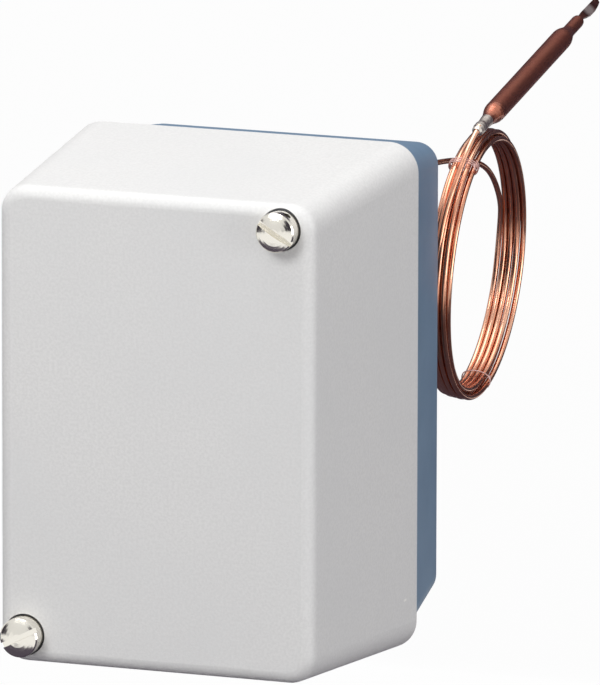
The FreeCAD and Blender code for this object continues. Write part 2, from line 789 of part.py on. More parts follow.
def build_frame():
    """Folded steel: a back plate with two side walls, a top flange and an earth tab."""
    def draw(drawing):
        polygon(drawing, [
            (-half_frame, -S["frame_stand"]), (half_frame, -S["frame_stand"]),
            (half_frame, -frame_front), (half_frame - S["frame_sheet"], -frame_front),
            (half_frame - S["frame_sheet"], -frame_top), (S["frame_sheet"] - half_frame, -frame_top),
            (S["frame_sheet"] - half_frame, -frame_front), (-half_frame, -frame_front)])
    body = prism("frame_channel", draw, -S["frame_low"], S["frame_low"] + S["frame_high"], "XY_Plane")
    soften(body, "frame_bends_inner", S["frame_bend"],
           lambda p: abs(p.y + frame_top.value) < 1e-4 and abs(abs(p.x) - half_frame.value + 1.5) < 0.6, UPRIGHT)
    soften(body, "frame_bends_outer", S["frame_bend"] + S["frame_sheet"],
           lambda p: abs(p.y + S["frame_stand"].value) < 1e-4 and abs(abs(p.x) - half_frame.value) < 1e-4, UPRIGHT)
    flange = block("frame_flange", -half_frame + 3.0, frame_top - 0.5, switch_top,
                   S["frame_width"] - 6.0, S["frame_deep"] - 3.0, S["frame_sheet"])
    tab = block("frame_earth_tab", -earth_x - S["earth_tab"] / 2, S["frame_stand"],
                -S["frame_low"] - S["earth_tab"], S["earth_tab"], S["frame_sheet"], S["earth_tab"] + 0.5)
    holes = []
    for label, x, z in foot_spots():
        holes.append(cylinder("frame_foot_hole_" + label, S["small_screw_r"] + 0.2, 6.0, x,
                              S["frame_stand"] - 2.0, z))
    holes.append(cylinder("frame_stud_hole", S["stud_r"] + 0.1, 6.0, 0.0, S["frame_stand"] - 2.0, S["axis_z"]))
    holes.append(cylinder("frame_pivot_hole", S["pivot_r"] + S["running"], S["frame_width"] + 4.0,
                          -half_frame - 2.0, pivot_depth, -S["pivot_z"], RIGHTWARDS))
    holes.append(cylinder("frame_earth_hole", S["earth_screw_r"] + S["fit_gap"], 6.0, -earth_x,
                          S["frame_stand"] - 2.0, -S["earth_z"]))
    holes.append(block("frame_bridge_slots", -half_frame - 1.0, bridge_depth - S["fit_gap"],
                       bridge_middle - S["bridge_tab"] / 2 - S["fit_gap"], S["frame_width"] + 2.0,
                       S["frame_sheet"] + 2 * S["fit_gap"], S["bridge_tab"] + 2 * S["fit_gap"]))
    for label, x in switch_hole_spots():
        holes.append(cylinder("frame_switch_hole_" + label, S["switch_hole_r"] + 0.05, 6.0, x,
                              switch_middle, switch_top - 2.0, Rotation()))
    window_low = S["axis_z"] - 9.0
    for side, name in ((-1, "left"), (1, "right")):
        low_x = -half_frame - 1.0 if side < 0 else half_frame - S["frame_sheet"] - 1.0
        holes.append(block("frame_window_" + name, low_x, frame_top + 2.0, window_low, S["frame_sheet"] + 2.0,
                           9.0, 18.0))
    return cut("frame", fuse("frame_whole", body, flange, tab), *holes)


def switch_hole_spots():
    """The two screw places of the snap switch."""
    yield "left", -S["switch_hole_pitch"] / 2
    yield "right", S["switch_hole_pitch"] / 2


bridge_middle = (S["bridge_high"] - S["bridge_low"]) / 2
switch_middle = switch_back + S["switch_deep"] * 0.42
node(build_frame(), "mechanism_frame")


def small_screw(name, reach, x, depth, z, turn=None, shank=None, head=None):
    """A slotted cheese-head screw whose head lies in front of a depth."""
    shank = shank or S["small_screw_r"]
    head = head or S["small_head_r"]
    body = turned(name + "_blank", [
        (0.0, reach), (shank, reach), (shank, 0.0), (head, 0.0), (head, -S["small_head"] + 0.3),
        (head - 0.3, -S["small_head"]), (0.0, -S["small_head"])])
    slot = block(name + "_slot", -2 * head, S["small_head"] * 0.5, -S["small_slot"] / 2, 4 * head,
                 S["small_head"], S["small_slot"])
    return place(cut(name, body, slot), x, -size(depth), z, turn)


foot_screws = [small_screw("foot_screw_" + label, frame_top - 3.0, x, frame_top, z)
               for label, x, z in foot_spots()]
node(group("foot_screw_set", *foot_screws), "frame_screws")


# Pressure capsule, its nut and its pin
face = frame_top + S["capsule_thick"]
mid_rim = frame_top + S["capsule_thick"] / 2
node(turned("capsule", [
    (0.0, -frame_top + S["stud_long"]), (S["stud_r"], -frame_top + S["stud_long"]),
    (S["stud_r"], -frame_top), (S["capsule_face_r"], -frame_top),
    (S["capsule_r"] - 0.6, -mid_rim + S["capsule_rim"] / 2), (S["capsule_r"], -mid_rim + S["capsule_rim"] / 2),
    (S["capsule_r"], -mid_rim - S["capsule_rim"] / 2), (S["capsule_r"] - 0.6, -mid_rim - S["capsule_rim"] / 2),
    (S["capsule_face_r"], -face + 1.2), (S["pin_r"] + 3.0, -face + 1.2), (S["pin_r"] + 2.2, -face),
    (S["pin_r"] + S["running"], -face), (S["pin_r"] + S["running"], -face + S["pin_long"] * 0.5),
    (0.0, -face + S["pin_long"] * 0.5)], 0.0, 0.0, S["axis_z"]), "pressure_capsule")


def build_capsule_nut():
    """The thin hexagon nut behind the back plate."""
    body = doc.addObject("PartDesign::Body", "capsule_nut_body")
    drawing = sketch(body, "capsule_nut_outline", "XZ_Plane", S["frame_stand"] - S["nut_thick"])
    hexagon(drawing, S["nut_flats"], 0.0, S["axis_z"])
    circle(drawing, 0.0, S["axis_z"], S["stud_r"] + S["fit_gap"])
    pad(body, drawing, S["nut_thick"])
    return body


node(build_capsule_nut(), "capsule_nut")

pin_tip = lever_back - S["contact_gap"]
node(turned("pressure_pin_body", [
    (0.0, -face + S["pin_long"] * 0.5 - S["contact_gap"]), (S["pin_r"], -face + S["pin_long"] * 0.5 - S["contact_gap"]),
    (S["pin_r"], -pin_tip + 0.9), (S["pin_r"] * 0.72, -pin_tip + 0.32), (S["pin_r"] * 0.3, -pin_tip + 0.04),
    (0.0, -pin_tip)], 0.0, 0.0, S["axis_z"]), "pressure_pin")


# Lever, pivot and trip screw
def build_lever():
    """A tapered steel lever with two folded ears round its pivot."""
    half = S["lever_width"] / 2
    tip = S["lever_tip_width"] / 2
    low = -S["pivot_z"] - S["lever_below"]
    high = -S["pivot_z"] + S["lever_reach"]

    def draw(drawing):
        polygon(drawing, [(-half, low), (half, low), (half, -S["pivot_z"] + S["lever_below"] + 2.0),
                          (tip, high), (-tip, high), (-half, -S["pivot_z"] + S["lever_below"] + 2.0)])
    body = prism("lever_plate", draw, lever_back, S["lever_sheet"])
    soften(body, "lever_corners", 2.0,
           lambda p: p.z > high.value - 0.01 and abs(abs(p.x) - tip.value) < 0.01, ACROSS)
    ears = []
    for side, name in ((-1, "left"), (1, "right")):
        low_x = -half if side < 0 else half - S["frame_sheet"]
        ears.append(block("lever_ear_" + name, low_x, pivot_depth - S["ear_deep"] / 2, low, S["frame_sheet"],
                          S["ear_deep"], 2 * S["lever_below"]))
    relief = block("lever_relief", -half + S["frame_sheet"] + 0.5, lever_back - 1.0, low - 1.0,
                   S["lever_width"] - 2 * S["frame_sheet"] - 1.0, S["lever_sheet"] + 2.0,
                   S["lever_below"] + S["pivot_r"] + 2.5)
    hole = cylinder("lever_hole", S["pivot_r"] + S["running"], S["lever_width"] + 4.0, -half - 2.0,
                    pivot_depth, -S["pivot_z"], RIGHTWARDS)
    trip_hole = cylinder("lever_trip_hole", S["trip_r"] + S["fit_gap"], 8.0, 0.0, lever_back - 3.0,
                         -S["pivot_z"] + S["trip_reach"])
    return cut("lever", fuse("lever_whole", body, *ears), relief, hole, trip_hole)


node(build_lever(), "trip_lever")
pivot_half = half_frame + 1.2
node(turned("pivot", [
    (0.0, -pivot_half), (S["pivot_r"], -pivot_half), (S["pivot_r"], pivot_half),
    (S["pivot_r"] + 1.0, pivot_half), (S["pivot_r"] + 1.0, pivot_half + 1.0), (0.0, pivot_half + 1.0)],
    0.0, -pivot_depth, -S["pivot_z"], Rotation(Vector(0, 0, 1), -90)), "lever_pivot")
node(cut("pivot_clip", cylinder("pivot_clip_disc", S["pivot_r"] + 1.4, 0.6, -half_frame - 0.9, pivot_depth,
                                -S["pivot_z"], RIGHTWARDS),
         cylinder("pivot_clip_hole", S["pivot_r"] + S["fit_gap"], 4.0, -half_frame - 2.0, pivot_depth,
                  -S["pivot_z"], RIGHTWARDS)), "pivot_clip")
trip_tip = switch_back - S["plunger_out"] - S["contact_gap"]
trip_z = -S["pivot_z"] + S["trip_reach"]
node(turned("trip", [
    (0.0, -lever_back + 2.4), (S["trip_r"] + 1.2, -lever_back + 2.4), (S["trip_r"] + 1.2, -lever_back + 0.4),
    (S["trip_r"], -lever_back + 0.4), (S["trip_r"], -trip_tip + 0.5), (S["trip_r"] - 0.5, -trip_tip),
    (0.0, -trip_tip)], 0.0, 0.0, trip_z), "trip_screw")


# Range spring, spring nut and spindle
def build_spring():
    """An open wire spring between the lever and the spring nut."""
    each = 15
    points = []
    for i in range(int(S["spring_turns"].value * each) + 1):
        angle = 2 * math.pi * i / each
        points.append((S["spring_r"] * math.cos(angle), -spring_start - S["spring_pitch"] * (i / each),
                       S["axis_z"] + S["spring_r"] * math.sin(angle)))
    return tube("spring", points, S["spring_wire_r"])


spring_start = lever_front + S["spring_wire_r"] + 0.02
spring_end = spring_start + S["spring_pitch"] * S["spring_turns"] + S["spring_wire_r"]
cup_back = spring_end + S["spring_travel"]
node(build_spring(), "range_spring")


def build_spring_nut():
    """The nut that rides on the spindle, kept from turning by its two ears."""
    disc = cylinder("cup_disc", S["cup_r"], S["cup_thick"], 0.0, cup_back, S["axis_z"])
    reach = half_frame - S["frame_sheet"] - 0.3
    ears = block("cup_ears", -reach, cup_back + 0.6, S["axis_z"] - S["cup_ear"] / 2, 2 * reach,
                 S["cup_thick"] - 0.6, S["cup_ear"])
    spigot = cylinder("cup_spigot", S["spring_r"] - S["spring_wire_r"] - 0.5, S["cup_spigot"], 0.0, cup_back - S["cup_spigot"], S["axis_z"])
    hole = cylinder("cup_hole", S["spindle_r"] + S["running"], 20.0, 0.0, cup_back - 6.0, S["axis_z"])
    return cut("spring_nut_cut", fuse("spring_nut_whole", disc, ears, spigot), hole)


node(build_spring_nut(), "spring_nut")
bush_back = bridge_depth - 1.0
bush_front = bridge_depth + S["frame_sheet"] + 1.5
dial_back = bridge_depth + S["frame_sheet"] + S["dial_gap"]
dial_front = dial_back + S["dial_thick"]
node(turned("spindle", [
    (0.0, -bush_back + S["spindle_inside"]), (S["spindle_r"] - 0.4, -bush_back + S["spindle_inside"]),
    (S["spindle_r"], -bush_back + S["spindle_inside"] - 0.4), (S["spindle_r"], -bush_back + 1.1),
    (S["spindle_r"] + 1.2, -bush_back + 1.1), (S["spindle_r"] + 1.2, -bush_back + 0.1),
    (S["spindle_r"], -bush_back + 0.1), (S["spindle_r"], -dial_front + 1.0), (1.55, -dial_front + 1.0),
    (1.55, -dial_front + 5.5), (0.0, -dial_front + 5.5)],
    0.0, 0.0, S["axis_z"]), "setpoint_spindle")


# Bridge with its bush and stop pin
def build_bridge():
    """The front plate of the frame, staked through the side walls."""
    inner = half_frame - S["frame_sheet"] - S["fit_gap"]
    plate = block("bridge_plate", -inner, bridge_depth, -S["bridge_low"], 2 * inner, S["frame_sheet"],
                  S["bridge_low"] + S["bridge_high"])
    tabs = block("bridge_tabs", -half_frame - 0.5, bridge_depth, bridge_middle - S["bridge_tab"] / 2,
                 S["frame_width"] + 1.0, S["frame_sheet"], S["bridge_tab"])
    hole = cylinder("bridge_hole", S["bridge_bush_r"] + S["fit_gap"], 8.0, 0.0, bridge_depth - 3.0, S["axis_z"])
    pin_hole = cylinder("bridge_pin_hole", S["stop_r"] + S["fit_gap"], 8.0, 0.0, bridge_depth - 3.0,
                        S["axis_z"] - S["stop_reach"])
    return cut("bridge", fuse("bridge_whole", plate, tabs), hole, pin_hole)


node(build_bridge(), "frame_bridge")
node(turned("bridge_bush_body", [
    (S["spindle_r"] + S["running"], -bush_back), (S["bridge_bush_r"], -bush_back),
    (S["bridge_bush_r"], -bridge_depth - S["frame_sheet"]),
    (S["bridge_bush_r"] + 1.0, -bridge_depth - S["frame_sheet"]), (S["bridge_bush_r"] + 1.0, -bush_front),
    (S["spindle_r"] + S["running"], -bush_front)], 0.0, 0.0, S["axis_z"]), "spindle_bush")
node(cylinder("stop_pin_bar", S["stop_r"], S["frame_sheet"] + S["dial_gap"] - 0.4, 0.0, bridge_depth,
              S["axis_z"] - S["stop_reach"]), "stop_pin")


# Setpoint dial
def build_dial():
    """A moulded dial: grooved rim, raised hub, a stop lug behind and a screwdriver slot."""
    hub = S["dial_hub_r"]
    body = turned("dial_blank", [
        (S["spindle_r"] + S["fit_gap"], -dial_back), (hub, -dial_back), (hub, -dial_back - 1.5),
        (S["dial_r"] - 2.0, -dial_back - 1.5), (S["dial_r"] - 2.0, -dial_back),
        (S["dial_r"], -dial_back), (S["dial_r"], -dial_front + 2.4), (S["dial_r"] - 1.2, -dial_front + 1.2),
        (hub + 1.5, -dial_front + 1.2), (hub, -dial_front), (1.7, -dial_front), (1.7, -dial_front + 1.0),
        (S["spindle_r"] + S["fit_gap"], -dial_front + 1.0)], 0.0, 0.0, S["axis_z"])
    grooves = []
    total = int(S["dial_grooves"].value)
    for i in range(total):
        angle = 2 * math.pi * i / total
        grooves.append(cylinder("dial_groove_%02d" % i, S["dial_groove_r"], S["dial_thick"] + 2.0,
                                (S["dial_r"] + 0.45) * math.cos(angle), dial_back - 1.0,
                                S["axis_z"] + (S["dial_r"] + 0.45) * math.sin(angle)))
    lug_z = S["axis_z"] + S["stop_reach"]
    lug = cylinder("dial_lug", S["stop_r"], 3.0, 0.0, dial_back - 1.2, lug_z)
    return cut("dial", fuse("dial_whole", body, lug), *grooves)


node(build_dial(), "setpoint_dial")
node(small_screw("dial_screw_body", S["dial_screw_long"], 0.0, dial_front, S["axis_z"], None, S["dial_screw_r"],
                 S["dial_screw_head_r"]), "dial_screw")


# Snap switch
def build_switch():
    """The moulded case of the snap switch, with its two screw holes."""
    case = doc.addObject("PartDesign::Body", "switch_moulding")
    drawing = sketch(case, "switch_outline", "XY_Plane", switch_low)
    half = S["switch_wide"] / 2
    front = switch_back + S["switch_deep"]
    polygon(drawing, [(-half, -switch_back - 1.2), (1.2 - half, -switch_back), (half - 1.2, -switch_back),
                      (half, -switch_back - 1.2), (half, -front), (-half, -front)])
    pad(case, drawing, S["switch_thick"])
    holes = [cylinder("switch_hole_" + label, S["switch_hole_r"], S["switch_thick"] + 4.0, x, switch_middle,
                      switch_low - 2.0, Rotation()) for label, x in switch_hole_spots()]
    shaft = cylinder("switch_shaft", S["plunger_r"] + S["running"], 4.0, 0.0, switch_back - 1.0, trip_z)
    return cut("switch", case, shaft, *holes)


node(build_switch(), "switch_case")
plunger_face = switch_back - S["plunger_out"]
node(cylinder("plunger_bar", S["plunger_r"], S["plunger_out"] + 1.5, 0.0, plunger_face, trip_z), "switch_plunger")
tabs = []
for i in (-1, 0, 1):
    tab = block("switch_tab_%d" % (i + 2), i * S["tab_pitch"] - S["tab_wide"] / 2,
                switch_back + S["switch_deep"], trip_z - S["tab_thick"] / 2, S["tab_wide"], S["tab_long"],
                S["tab_thick"])
    tabs.append(cut("switch_tab_cut_%d" % (i + 2), tab,
                    cylinder("tab_eye_%d" % (i + 2), size(0.8), 4.0, i * S["tab_pitch"],
                             switch_back + S["switch_deep"] + S["tab_long"] - 2.0, trip_z - 2.0, Rotation())))
node(group("switch_tab_set", *tabs), "switch_tabs")
switch_screws = []
switch_nuts = []
for label, x in switch_hole_spots():
    switch_screws.append(small_screw("switch_screw_" + label, S["switch_thick"] + S["frame_sheet"] + S["switch_nut_thick"] + 0.4, x,
                                     switch_middle, S["frame_high"], Rotation(Vector(1, 0, 0), -90),
                                     S["switch_screw_r"]))
    nut = doc.addObject("PartDesign::Body", "switch_nut_" + label)
    drawing = sketch(nut, "switch_nut_outline_" + label, "XY_Plane",
                     switch_low - S["switch_nut_thick"])
    hexagon(drawing, S["switch_nut_flats"], x, -switch_middle)
    circle(drawing, x, -switch_middle, S["switch_screw_r"] + S["fit_gap"])
    pad(nut, drawing, S["switch_nut_thick"])
    switch_nuts.append(nut)
node(group("switch_screw_pair", *switch_screws), "switch_screws")
node(group("switch_nut_pair", *switch_nuts), "switch_nuts")


# Terminal block
way_pitch = (S["block_wide"] - 2 * S["block_end"]) / 3
cage_wide = way_pitch - S["way_wall"]
cage_mouth = cage_wide - 2 * S["cage_wall"]


def way_spots():
    """The three ways of the terminal block."""
    for i in (-1, 0, 1):
        yield str(i + 2), block_x + i * way_pitch


block_floor = S["tray_floor"]
cage_back = block_floor + 3.0
cage_front = cage_back + S["cage_deep"]
cage_low = -S["block_z"] - S["cage_high"] / 2


def build_terminal_block():
    """The moulded strip with three chambers and a screw way above each."""
    body = block("terminal_strip", block_x - S["block_wide"] / 2, block_floor,
                 -S["block_z"] - S["block_high"] / 2, S["block_wide"], S["block_deep"], S["block_high"])
    cuts = []
    gap = 0.1
    for label, x in way_spots():
        cuts.append(block("chamber_" + label, x - cage_wide / 2 - gap, cage_back - gap,
                          -S["block_z"] - S["block_high"] / 2 - 1.0, cage_wide + 2 * gap,
                          S["cage_deep"] + 2 * gap, S["block_high"] / 2 + 1.0 + S["cage_high"] / 2 + gap))
        cuts.append(block("lead_way_" + label, x - cage_mouth / 2, cage_back + 1.5, -S["block_z"],
                          cage_mouth, cage_mouth, S["block_high"]))
        cuts.append(cylinder("screw_way_" + label, S["terminal_head_r"] + 0.4, S["block_deep"], x,
                             cage_front + 0.1, -S["block_z"]))
    for label, x in block_screw_spots():
        cuts.append(cylinder("block_hole_" + label, S["block_screw_hole_r"], S["block_deep"] + 4.0, x,
                             block_floor - 2.0, -S["block_z"]))
        cuts.append(cylinder("block_sink_" + label, S["block_sink_r"], S["block_deep"], x,
                             block_floor + S["block_seat"], -S["block_z"]))
    return cut("terminals", body, *cuts)


node(build_terminal_block(), "terminal_block")
cages = []
terminal_screws = []
for label, x in way_spots():
    outer = block("cage_" + label, x - cage_wide / 2, cage_back, cage_low, cage_wide,
                  S["cage_deep"], S["cage_high"])
    mouth = block("cage_mouth_" + label, x - cage_mouth / 2, cage_back + 1.5, cage_low - 1.0,
                  cage_mouth, cage_mouth, S["cage_high"] + 2.0)
    thread = cylinder("cage_thread_" + label, S["terminal_screw_r"] + S["fit_gap"], S["cage_deep"], x,
                      cage_back + 4.0, -S["block_z"])
    cages.append(cut("cage_cut_" + label, outer, mouth, thread))
    terminal_screws.append(small_screw("terminal_screw_" + label, S["terminal_screw_long"], x, cage_front + 0.8,
                                       -S["block_z"], None, S["terminal_screw_r"], S["terminal_head_r"]))
node(group("cage_set", *cages), "terminal_clamps")
node(group("terminal_screw_set", *terminal_screws), "terminal_screws")
block_screws = [small_screw("block_screw_" + label, S["block_seat"] + S["block_screw_grip"], x,
                            block_floor + S["block_seat"], -S["block_z"])
                for label, x in block_screw_spots()]
node(group("block_screw_pair", *block_screws), "block_screws")

# Earth terminal
node(small_screw("earth_screw_body", S["earth_screw_long"], -earth_x, frame_top + 1.0, -S["earth_z"], None,
                 S["earth_screw_r"], S["earth_head_r"]), "earth_screw")
node(washer("earth_washer_ring", S["earth_head_r"] + 0.7, S["earth_screw_r"] + 0.1, 1.0, -earth_x,
            frame_top, -S["earth_z"]), "earth_washer")

# Cable gland in the bottom wall
thread_top = -S["gland_pad_z"] + S["gland_pad_thick"] + S["locknut_thick"] + 1.0
hex_low = -S["gland_pad_z"] - S["gland_hex"]
nut_low = hex_low - S["gland_nut_long"]


def build_gland_body():
    """The gland's body: hexagon collar outside, thread through the wall, a cup for the seal below."""
    hexa = doc.addObject("PartDesign::Body", "gland_collar")
    drawing = sketch(hexa, "gland_collar_outline", "XY_Plane", hex_low)
    hexagon(drawing, S["gland_flats"], -gland_x, -S["gland_depth"], 30)
    pad(hexa, drawing, S["gland_hex"])
    thread = cylinder("gland_thread", S["gland_thread_r"], thread_top - hex_low, -gland_x,
                      S["gland_depth"], hex_low, Rotation())
    spigot = cylinder("gland_spigot", S["gland_thread_r"] - 0.2, S["gland_nut_long"] - 2.5, -gland_x,
                      S["gland_depth"], nut_low + 2.5, Rotation())
    bore = cylinder("gland_bore", S["gland_bore_r"], 60.0, -gland_x, S["gland_depth"],
                    nut_low - 2.0, Rotation())
    cup = cylinder("gland_cup", S["gland_bore_r"] + 1.2, S["gland_nut_long"], -gland_x,
                   S["gland_depth"], nut_low - 1.0, Rotation())
    return cut("gland", fuse("gland_whole", hexa, thread, spigot), bore, cup)


def vertical_ring(name, outer, inner, low, tall):
    """A ring about the gland's upright axis."""
    return cut(name, cylinder(name + "_bar", outer, tall, -gland_x, S["gland_depth"], low, Rotation()),
               cylinder(name + "_bore", inner, tall + 2.0, -gland_x, S["gland_depth"], low - 1.0, Rotation()))


node(build_gland_body(), "gland_body")
nut_shell = vertical_ring("gland_nut_shell", S["gland_nut_r"], S["gland_thread_r"] - 0.2 + S["fit_gap"],
                          nut_low + 1.6, S["gland_nut_long"] - 1.7)
nut_face = vertical_ring("gland_nut_face", S["gland_nut_r"] - 0.8, S["gland_bore_r"], nut_low, 1.6)
node(fuse("gland_nut_whole", nut_shell, nut_face), "gland_nut")
node(vertical_ring("gland_seal_ring", S["gland_bore_r"] + 1.15, S["gland_seal_r"], nut_low + 1.7,
                   S["gland_nut_long"] - 2.8), "gland_seal")
locknut = doc.addObject("PartDesign::Body", "gland_locknut_body")
locknut_drawing = sketch(locknut, "gland_locknut_outline", "XY_Plane", -S["gland_pad_z"] + S["gland_pad_thick"])
hexagon(locknut_drawing, S["locknut_flats"], -gland_x, -S["gland_depth"], 30)
circle(locknut_drawing, -gland_x, -S["gland_depth"], S["gland_thread_r"] + S["fit_gap"])
pad(locknut, locknut_drawing, S["locknut_thick"])
node(locknut, "gland_locknut")


# Capillary: the lead outside and the tube inside
lead_route = (
    (bush_x, 0.0, S["bush_z"]),
    (23.6, 7.5, 42.9),
    (25.2, 16.0, 44.4),
    (28.2, 25.5, 44.6),
    (30.1, 36.0, 43.2),
    (31.2, 46.5, 40.6),
    (31.2, 55.2, 36.0),
    (31.3, 60.9, 28.6),
)
inner_route = (
    (S["capsule_r"] - 0.15, -mid_rim, S["axis_z"]),
    (half_frame - 4.0, -mid_rim - 0.75, S["axis_z"] + 0.3),
    (half_frame + 2.4, -mid_rim - 2.2, S["axis_z"] + 2.6),
    (half_frame + 5.2, -mid_rim - 3.0, S["axis_z"] + 9.2),
    (half_frame + 5.3, -mid_rim - 2.9, S["axis_z"] + 16.4),
    (half_frame + 4.4, -mid_rim - 2.4, S["axis_z"] + 22.8),
    (half_frame + 2.7, -mid_rim - 0.9, S["bush_z"] - 4.1),
    (bush_x + 0.2, -10.2, S["bush_z"] - 0.7),
    (bush_x, -5.1, S["bush_z"]),
    (bush_x, 0.0, S["bush_z"]),
)
node(tube("inner_tube", inner_route, S["capillary_r"]), "capillary_inner")
node(tube("lead_tube", lead_route, S["capillary_r"]), "capillary_lead")

# Coil: one ring of the bundle's outer shape, leaning a little
coil_normal = Vector(0.9977, 0.0355, -0.0584)
coil_turn = Rotation(Vector(0, 1, 0), coil_normal)
half_coil = S["coil_wide"] / 2


def coil_profile():
    """The bundle's section, as (radius, height) points."""
    return [(S["coil_inner_r"], -half_coil + 1.4), (S["coil_inner_r"] + 1.2, -half_coil),
            (S["coil_outer_r"] - 1.2, -half_coil), (S["coil_outer_r"], -half_coil + 1.4),
            (S["coil_outer_r"], half_coil - 1.4), (S["coil_outer_r"] - 1.2, half_coil),
            (S["coil_inner_r"] + 1.2, half_coil), (S["coil_inner_r"], half_coil - 1.4)]


node(turned("coil_ring", coil_profile(), S["coil_x"], S["coil_y"], S["coil_z"], coil_turn), "capillary_coil")


def build_tie(label, angle):
    """A turn of thin wire round the coil's section, at an angle round the ring."""
    over = S["tie_wire"]
    half = half_coil + over
    body = doc.addObject("PartDesign::Body", "tie_" + label)
    drawing = sketch(body, "tie_profile_" + label, "XY_Plane")
    polygon(drawing, [
        (S["coil_inner_r"] - over, -half + 1.6), (S["coil_inner_r"] + 1.0, -half), (S["coil_outer_r"] - 1.0, -half),
        (S["coil_outer_r"] + over, -half + 1.6), (S["coil_outer_r"] + over, half - 1.6),
        (S["coil_outer_r"] - 1.0, half), (S["coil_inner_r"] + 1.0, half), (S["coil_inner_r"] - over, half - 1.6)])
    made = body.newObject("PartDesign::Revolution", "tie_turning_" + label)
    made.Profile = drawing
    made.ReferenceAxis = (drawing, ["V_Axis"])
    made.Angle = 1.4
    made.Midplane = True
    body.Tip = made
    place(body, S["coil_x"], S["coil_y"], S["coil_z"], coil_turn * Rotation(Vector(0, 1, 0), angle))
    ring = turned("tie_core_" + label, coil_profile(), S["coil_x"], S["coil_y"], S["coil_z"], coil_turn)
    return cut("coil_tie_" + label + "_band", body, ring)


node(build_tie("upper", S["tie_upper_turn"].value), "coil_tie_upper")
node(build_tie("lower", S["tie_lower_turn"].value), "coil_tie_lower")

# Capillary end: the last stretch leaves the coil's outside and rises to the solder
bulb_way = Vector(-0.0064, 0.9846, 0.1751)
bulb_way.normalize()
bulb_turn = Rotation(Vector(0, 1, 0), bulb_way)
bulb_spot = Vector(38.47, 29.70, 54.38)
coil_back = Vector(-0.0355, 0.9994, 0.0)
coil_up = coil_normal.cross(coil_back)


def beside_coil(angle, radius, across):
    """A point by its angle round the coil, its reach from the middle and its place across."""
    turn = math.radians(angle)
    middle = Vector(S["coil_x"].value, S["coil_y"].value, S["coil_z"].value)
    reach = size(radius).value
    return middle + coil_back * (reach * math.cos(turn)) + coil_up * (reach * math.sin(turn)) + coil_normal * across


solder_end = bulb_spot - bulb_way * S["solder_long"].value
rise = (solder_end - beside_coil(117.0, S["coil_outer_r"] + 3.0, 2.0)).normalize()
lying = S["coil_outer_r"] + S["capillary_r"] + S["fit_gap"]
end_route = (
    beside_coil(152.0, lying, 0.2),
    beside_coil(143.5, lying + 0.1, 0.4),
    beside_coil(134.0, lying + 0.5, 0.8),
    beside_coil(125.0, lying + 1.3, 1.4),
    beside_coil(117.0, S["coil_outer_r"] + 3.0, 2.0),
    solder_end + rise * S["solder_grip"].value,
)
node(tube("end_tube", end_route, S["capillary_r"]), "capillary_end")


# Sensor bulb, soldered on the capillary's end and pinched shut at its tail
def swage(start_r, end_r, start, long):
    """The points of a smooth change of radius along a tube."""
    points = []
    for i in range(7):
        part = i / 6
        blend = (1 - math.cos(math.pi * part)) / 2
        points.append((start_r + (end_r - start_r) * blend, start + long * part))
    return points


mouth_r = S["neck_r"]
solder_points = [(S["solder_r"] * wide, -S["solder_long"] * (1 - along)) for wide, along in (
    (0.62, 0.0), (0.84, 0.1), (0.98, 0.26), (1.0, 0.42), (0.9, 0.58), (0.94, 0.74), (1.0, 0.88))]
solder = turned("solder", [(0.0, -S["solder_long"]), *solder_points, (mouth_r, 0.0), (0.0, 0.0)],
                bulb_spot.x, bulb_spot.y, bulb_spot.z, bulb_turn)
way_in = doc.addObject("Part::Cylinder", "solder_way_in")
bind(way_in, "Radius", S["capillary_r"] + S["running"])
bind(way_in, "Height", 2 * S["solder_grip"] + 0.1)
way_in_start = solder_end - rise * S["solder_grip"].value
place(way_in, way_in_start.x, way_in_start.y, way_in_start.z, Rotation(UPRIGHT, rise))
node(cut("solder_drop", solder, way_in), "bulb_solder")
far_swage = S["bulb_long"] - S["bulb_swage"]
neck_end = S["bulb_long"] + S["neck_long"]
node(turned("bulb", [
    (0.0, 0.0), *swage(mouth_r, S["bulb_r"], 0.0, S["bulb_swage"]),
    *swage(S["bulb_r"], S["neck_r"], far_swage, S["bulb_swage"]),
    (S["neck_r"], neck_end - 1.6), (S["neck_r"] * 0.94, neck_end - 0.9), (S["neck_r"] * 0.76, neck_end - 0.3),
    (S["neck_r"] * 0.5, neck_end), (0.0, neck_end)],
    bulb_spot.x, bulb_spot.y, bulb_spot.z, bulb_turn), "sensor_bulb")


def build_tail():
    """The filling tube's end: pinched flat to a waist, then a spoon that is sealed at its tip."""
    body = doc.addObject("PartDesign::Body", "tail_body")
    drawing = sketch(body, "tail_outline", "XY_Plane")
    waist = S["tail_waist"] / 2
    wide = S["tail_wide"]
    long = S["tail_long"]
    polygon(drawing, [
        (-waist, 0.0), (waist * 0.7, 0.0), (waist * 0.8, long * 0.14), (wide * 0.42, long * 0.28),
        (wide * 0.6, long * 0.46), (wide * 0.6, long * 0.6), (wide * 0.46, long * 0.84),
        (wide * 0.3, long * 0.97), (wide * 0.05, long), (-wide * 0.2, long * 0.97),
        (-wide * 0.34, long * 0.86), (-wide * 0.38, long * 0.3)])
    pad(body, drawing, S["tail_thick"], True)
    side = Vector(0.7303, 0.1129, -0.674)
    flat = side.cross(bulb_way)
    spot = [size(bulb_spot[i]) + neck_end * bulb_way[i] for i in range(3)]
    return place(body, *spot, Rotation(side, bulb_way, flat, "ZYX"))


node(build_tail(), "filling_tube")


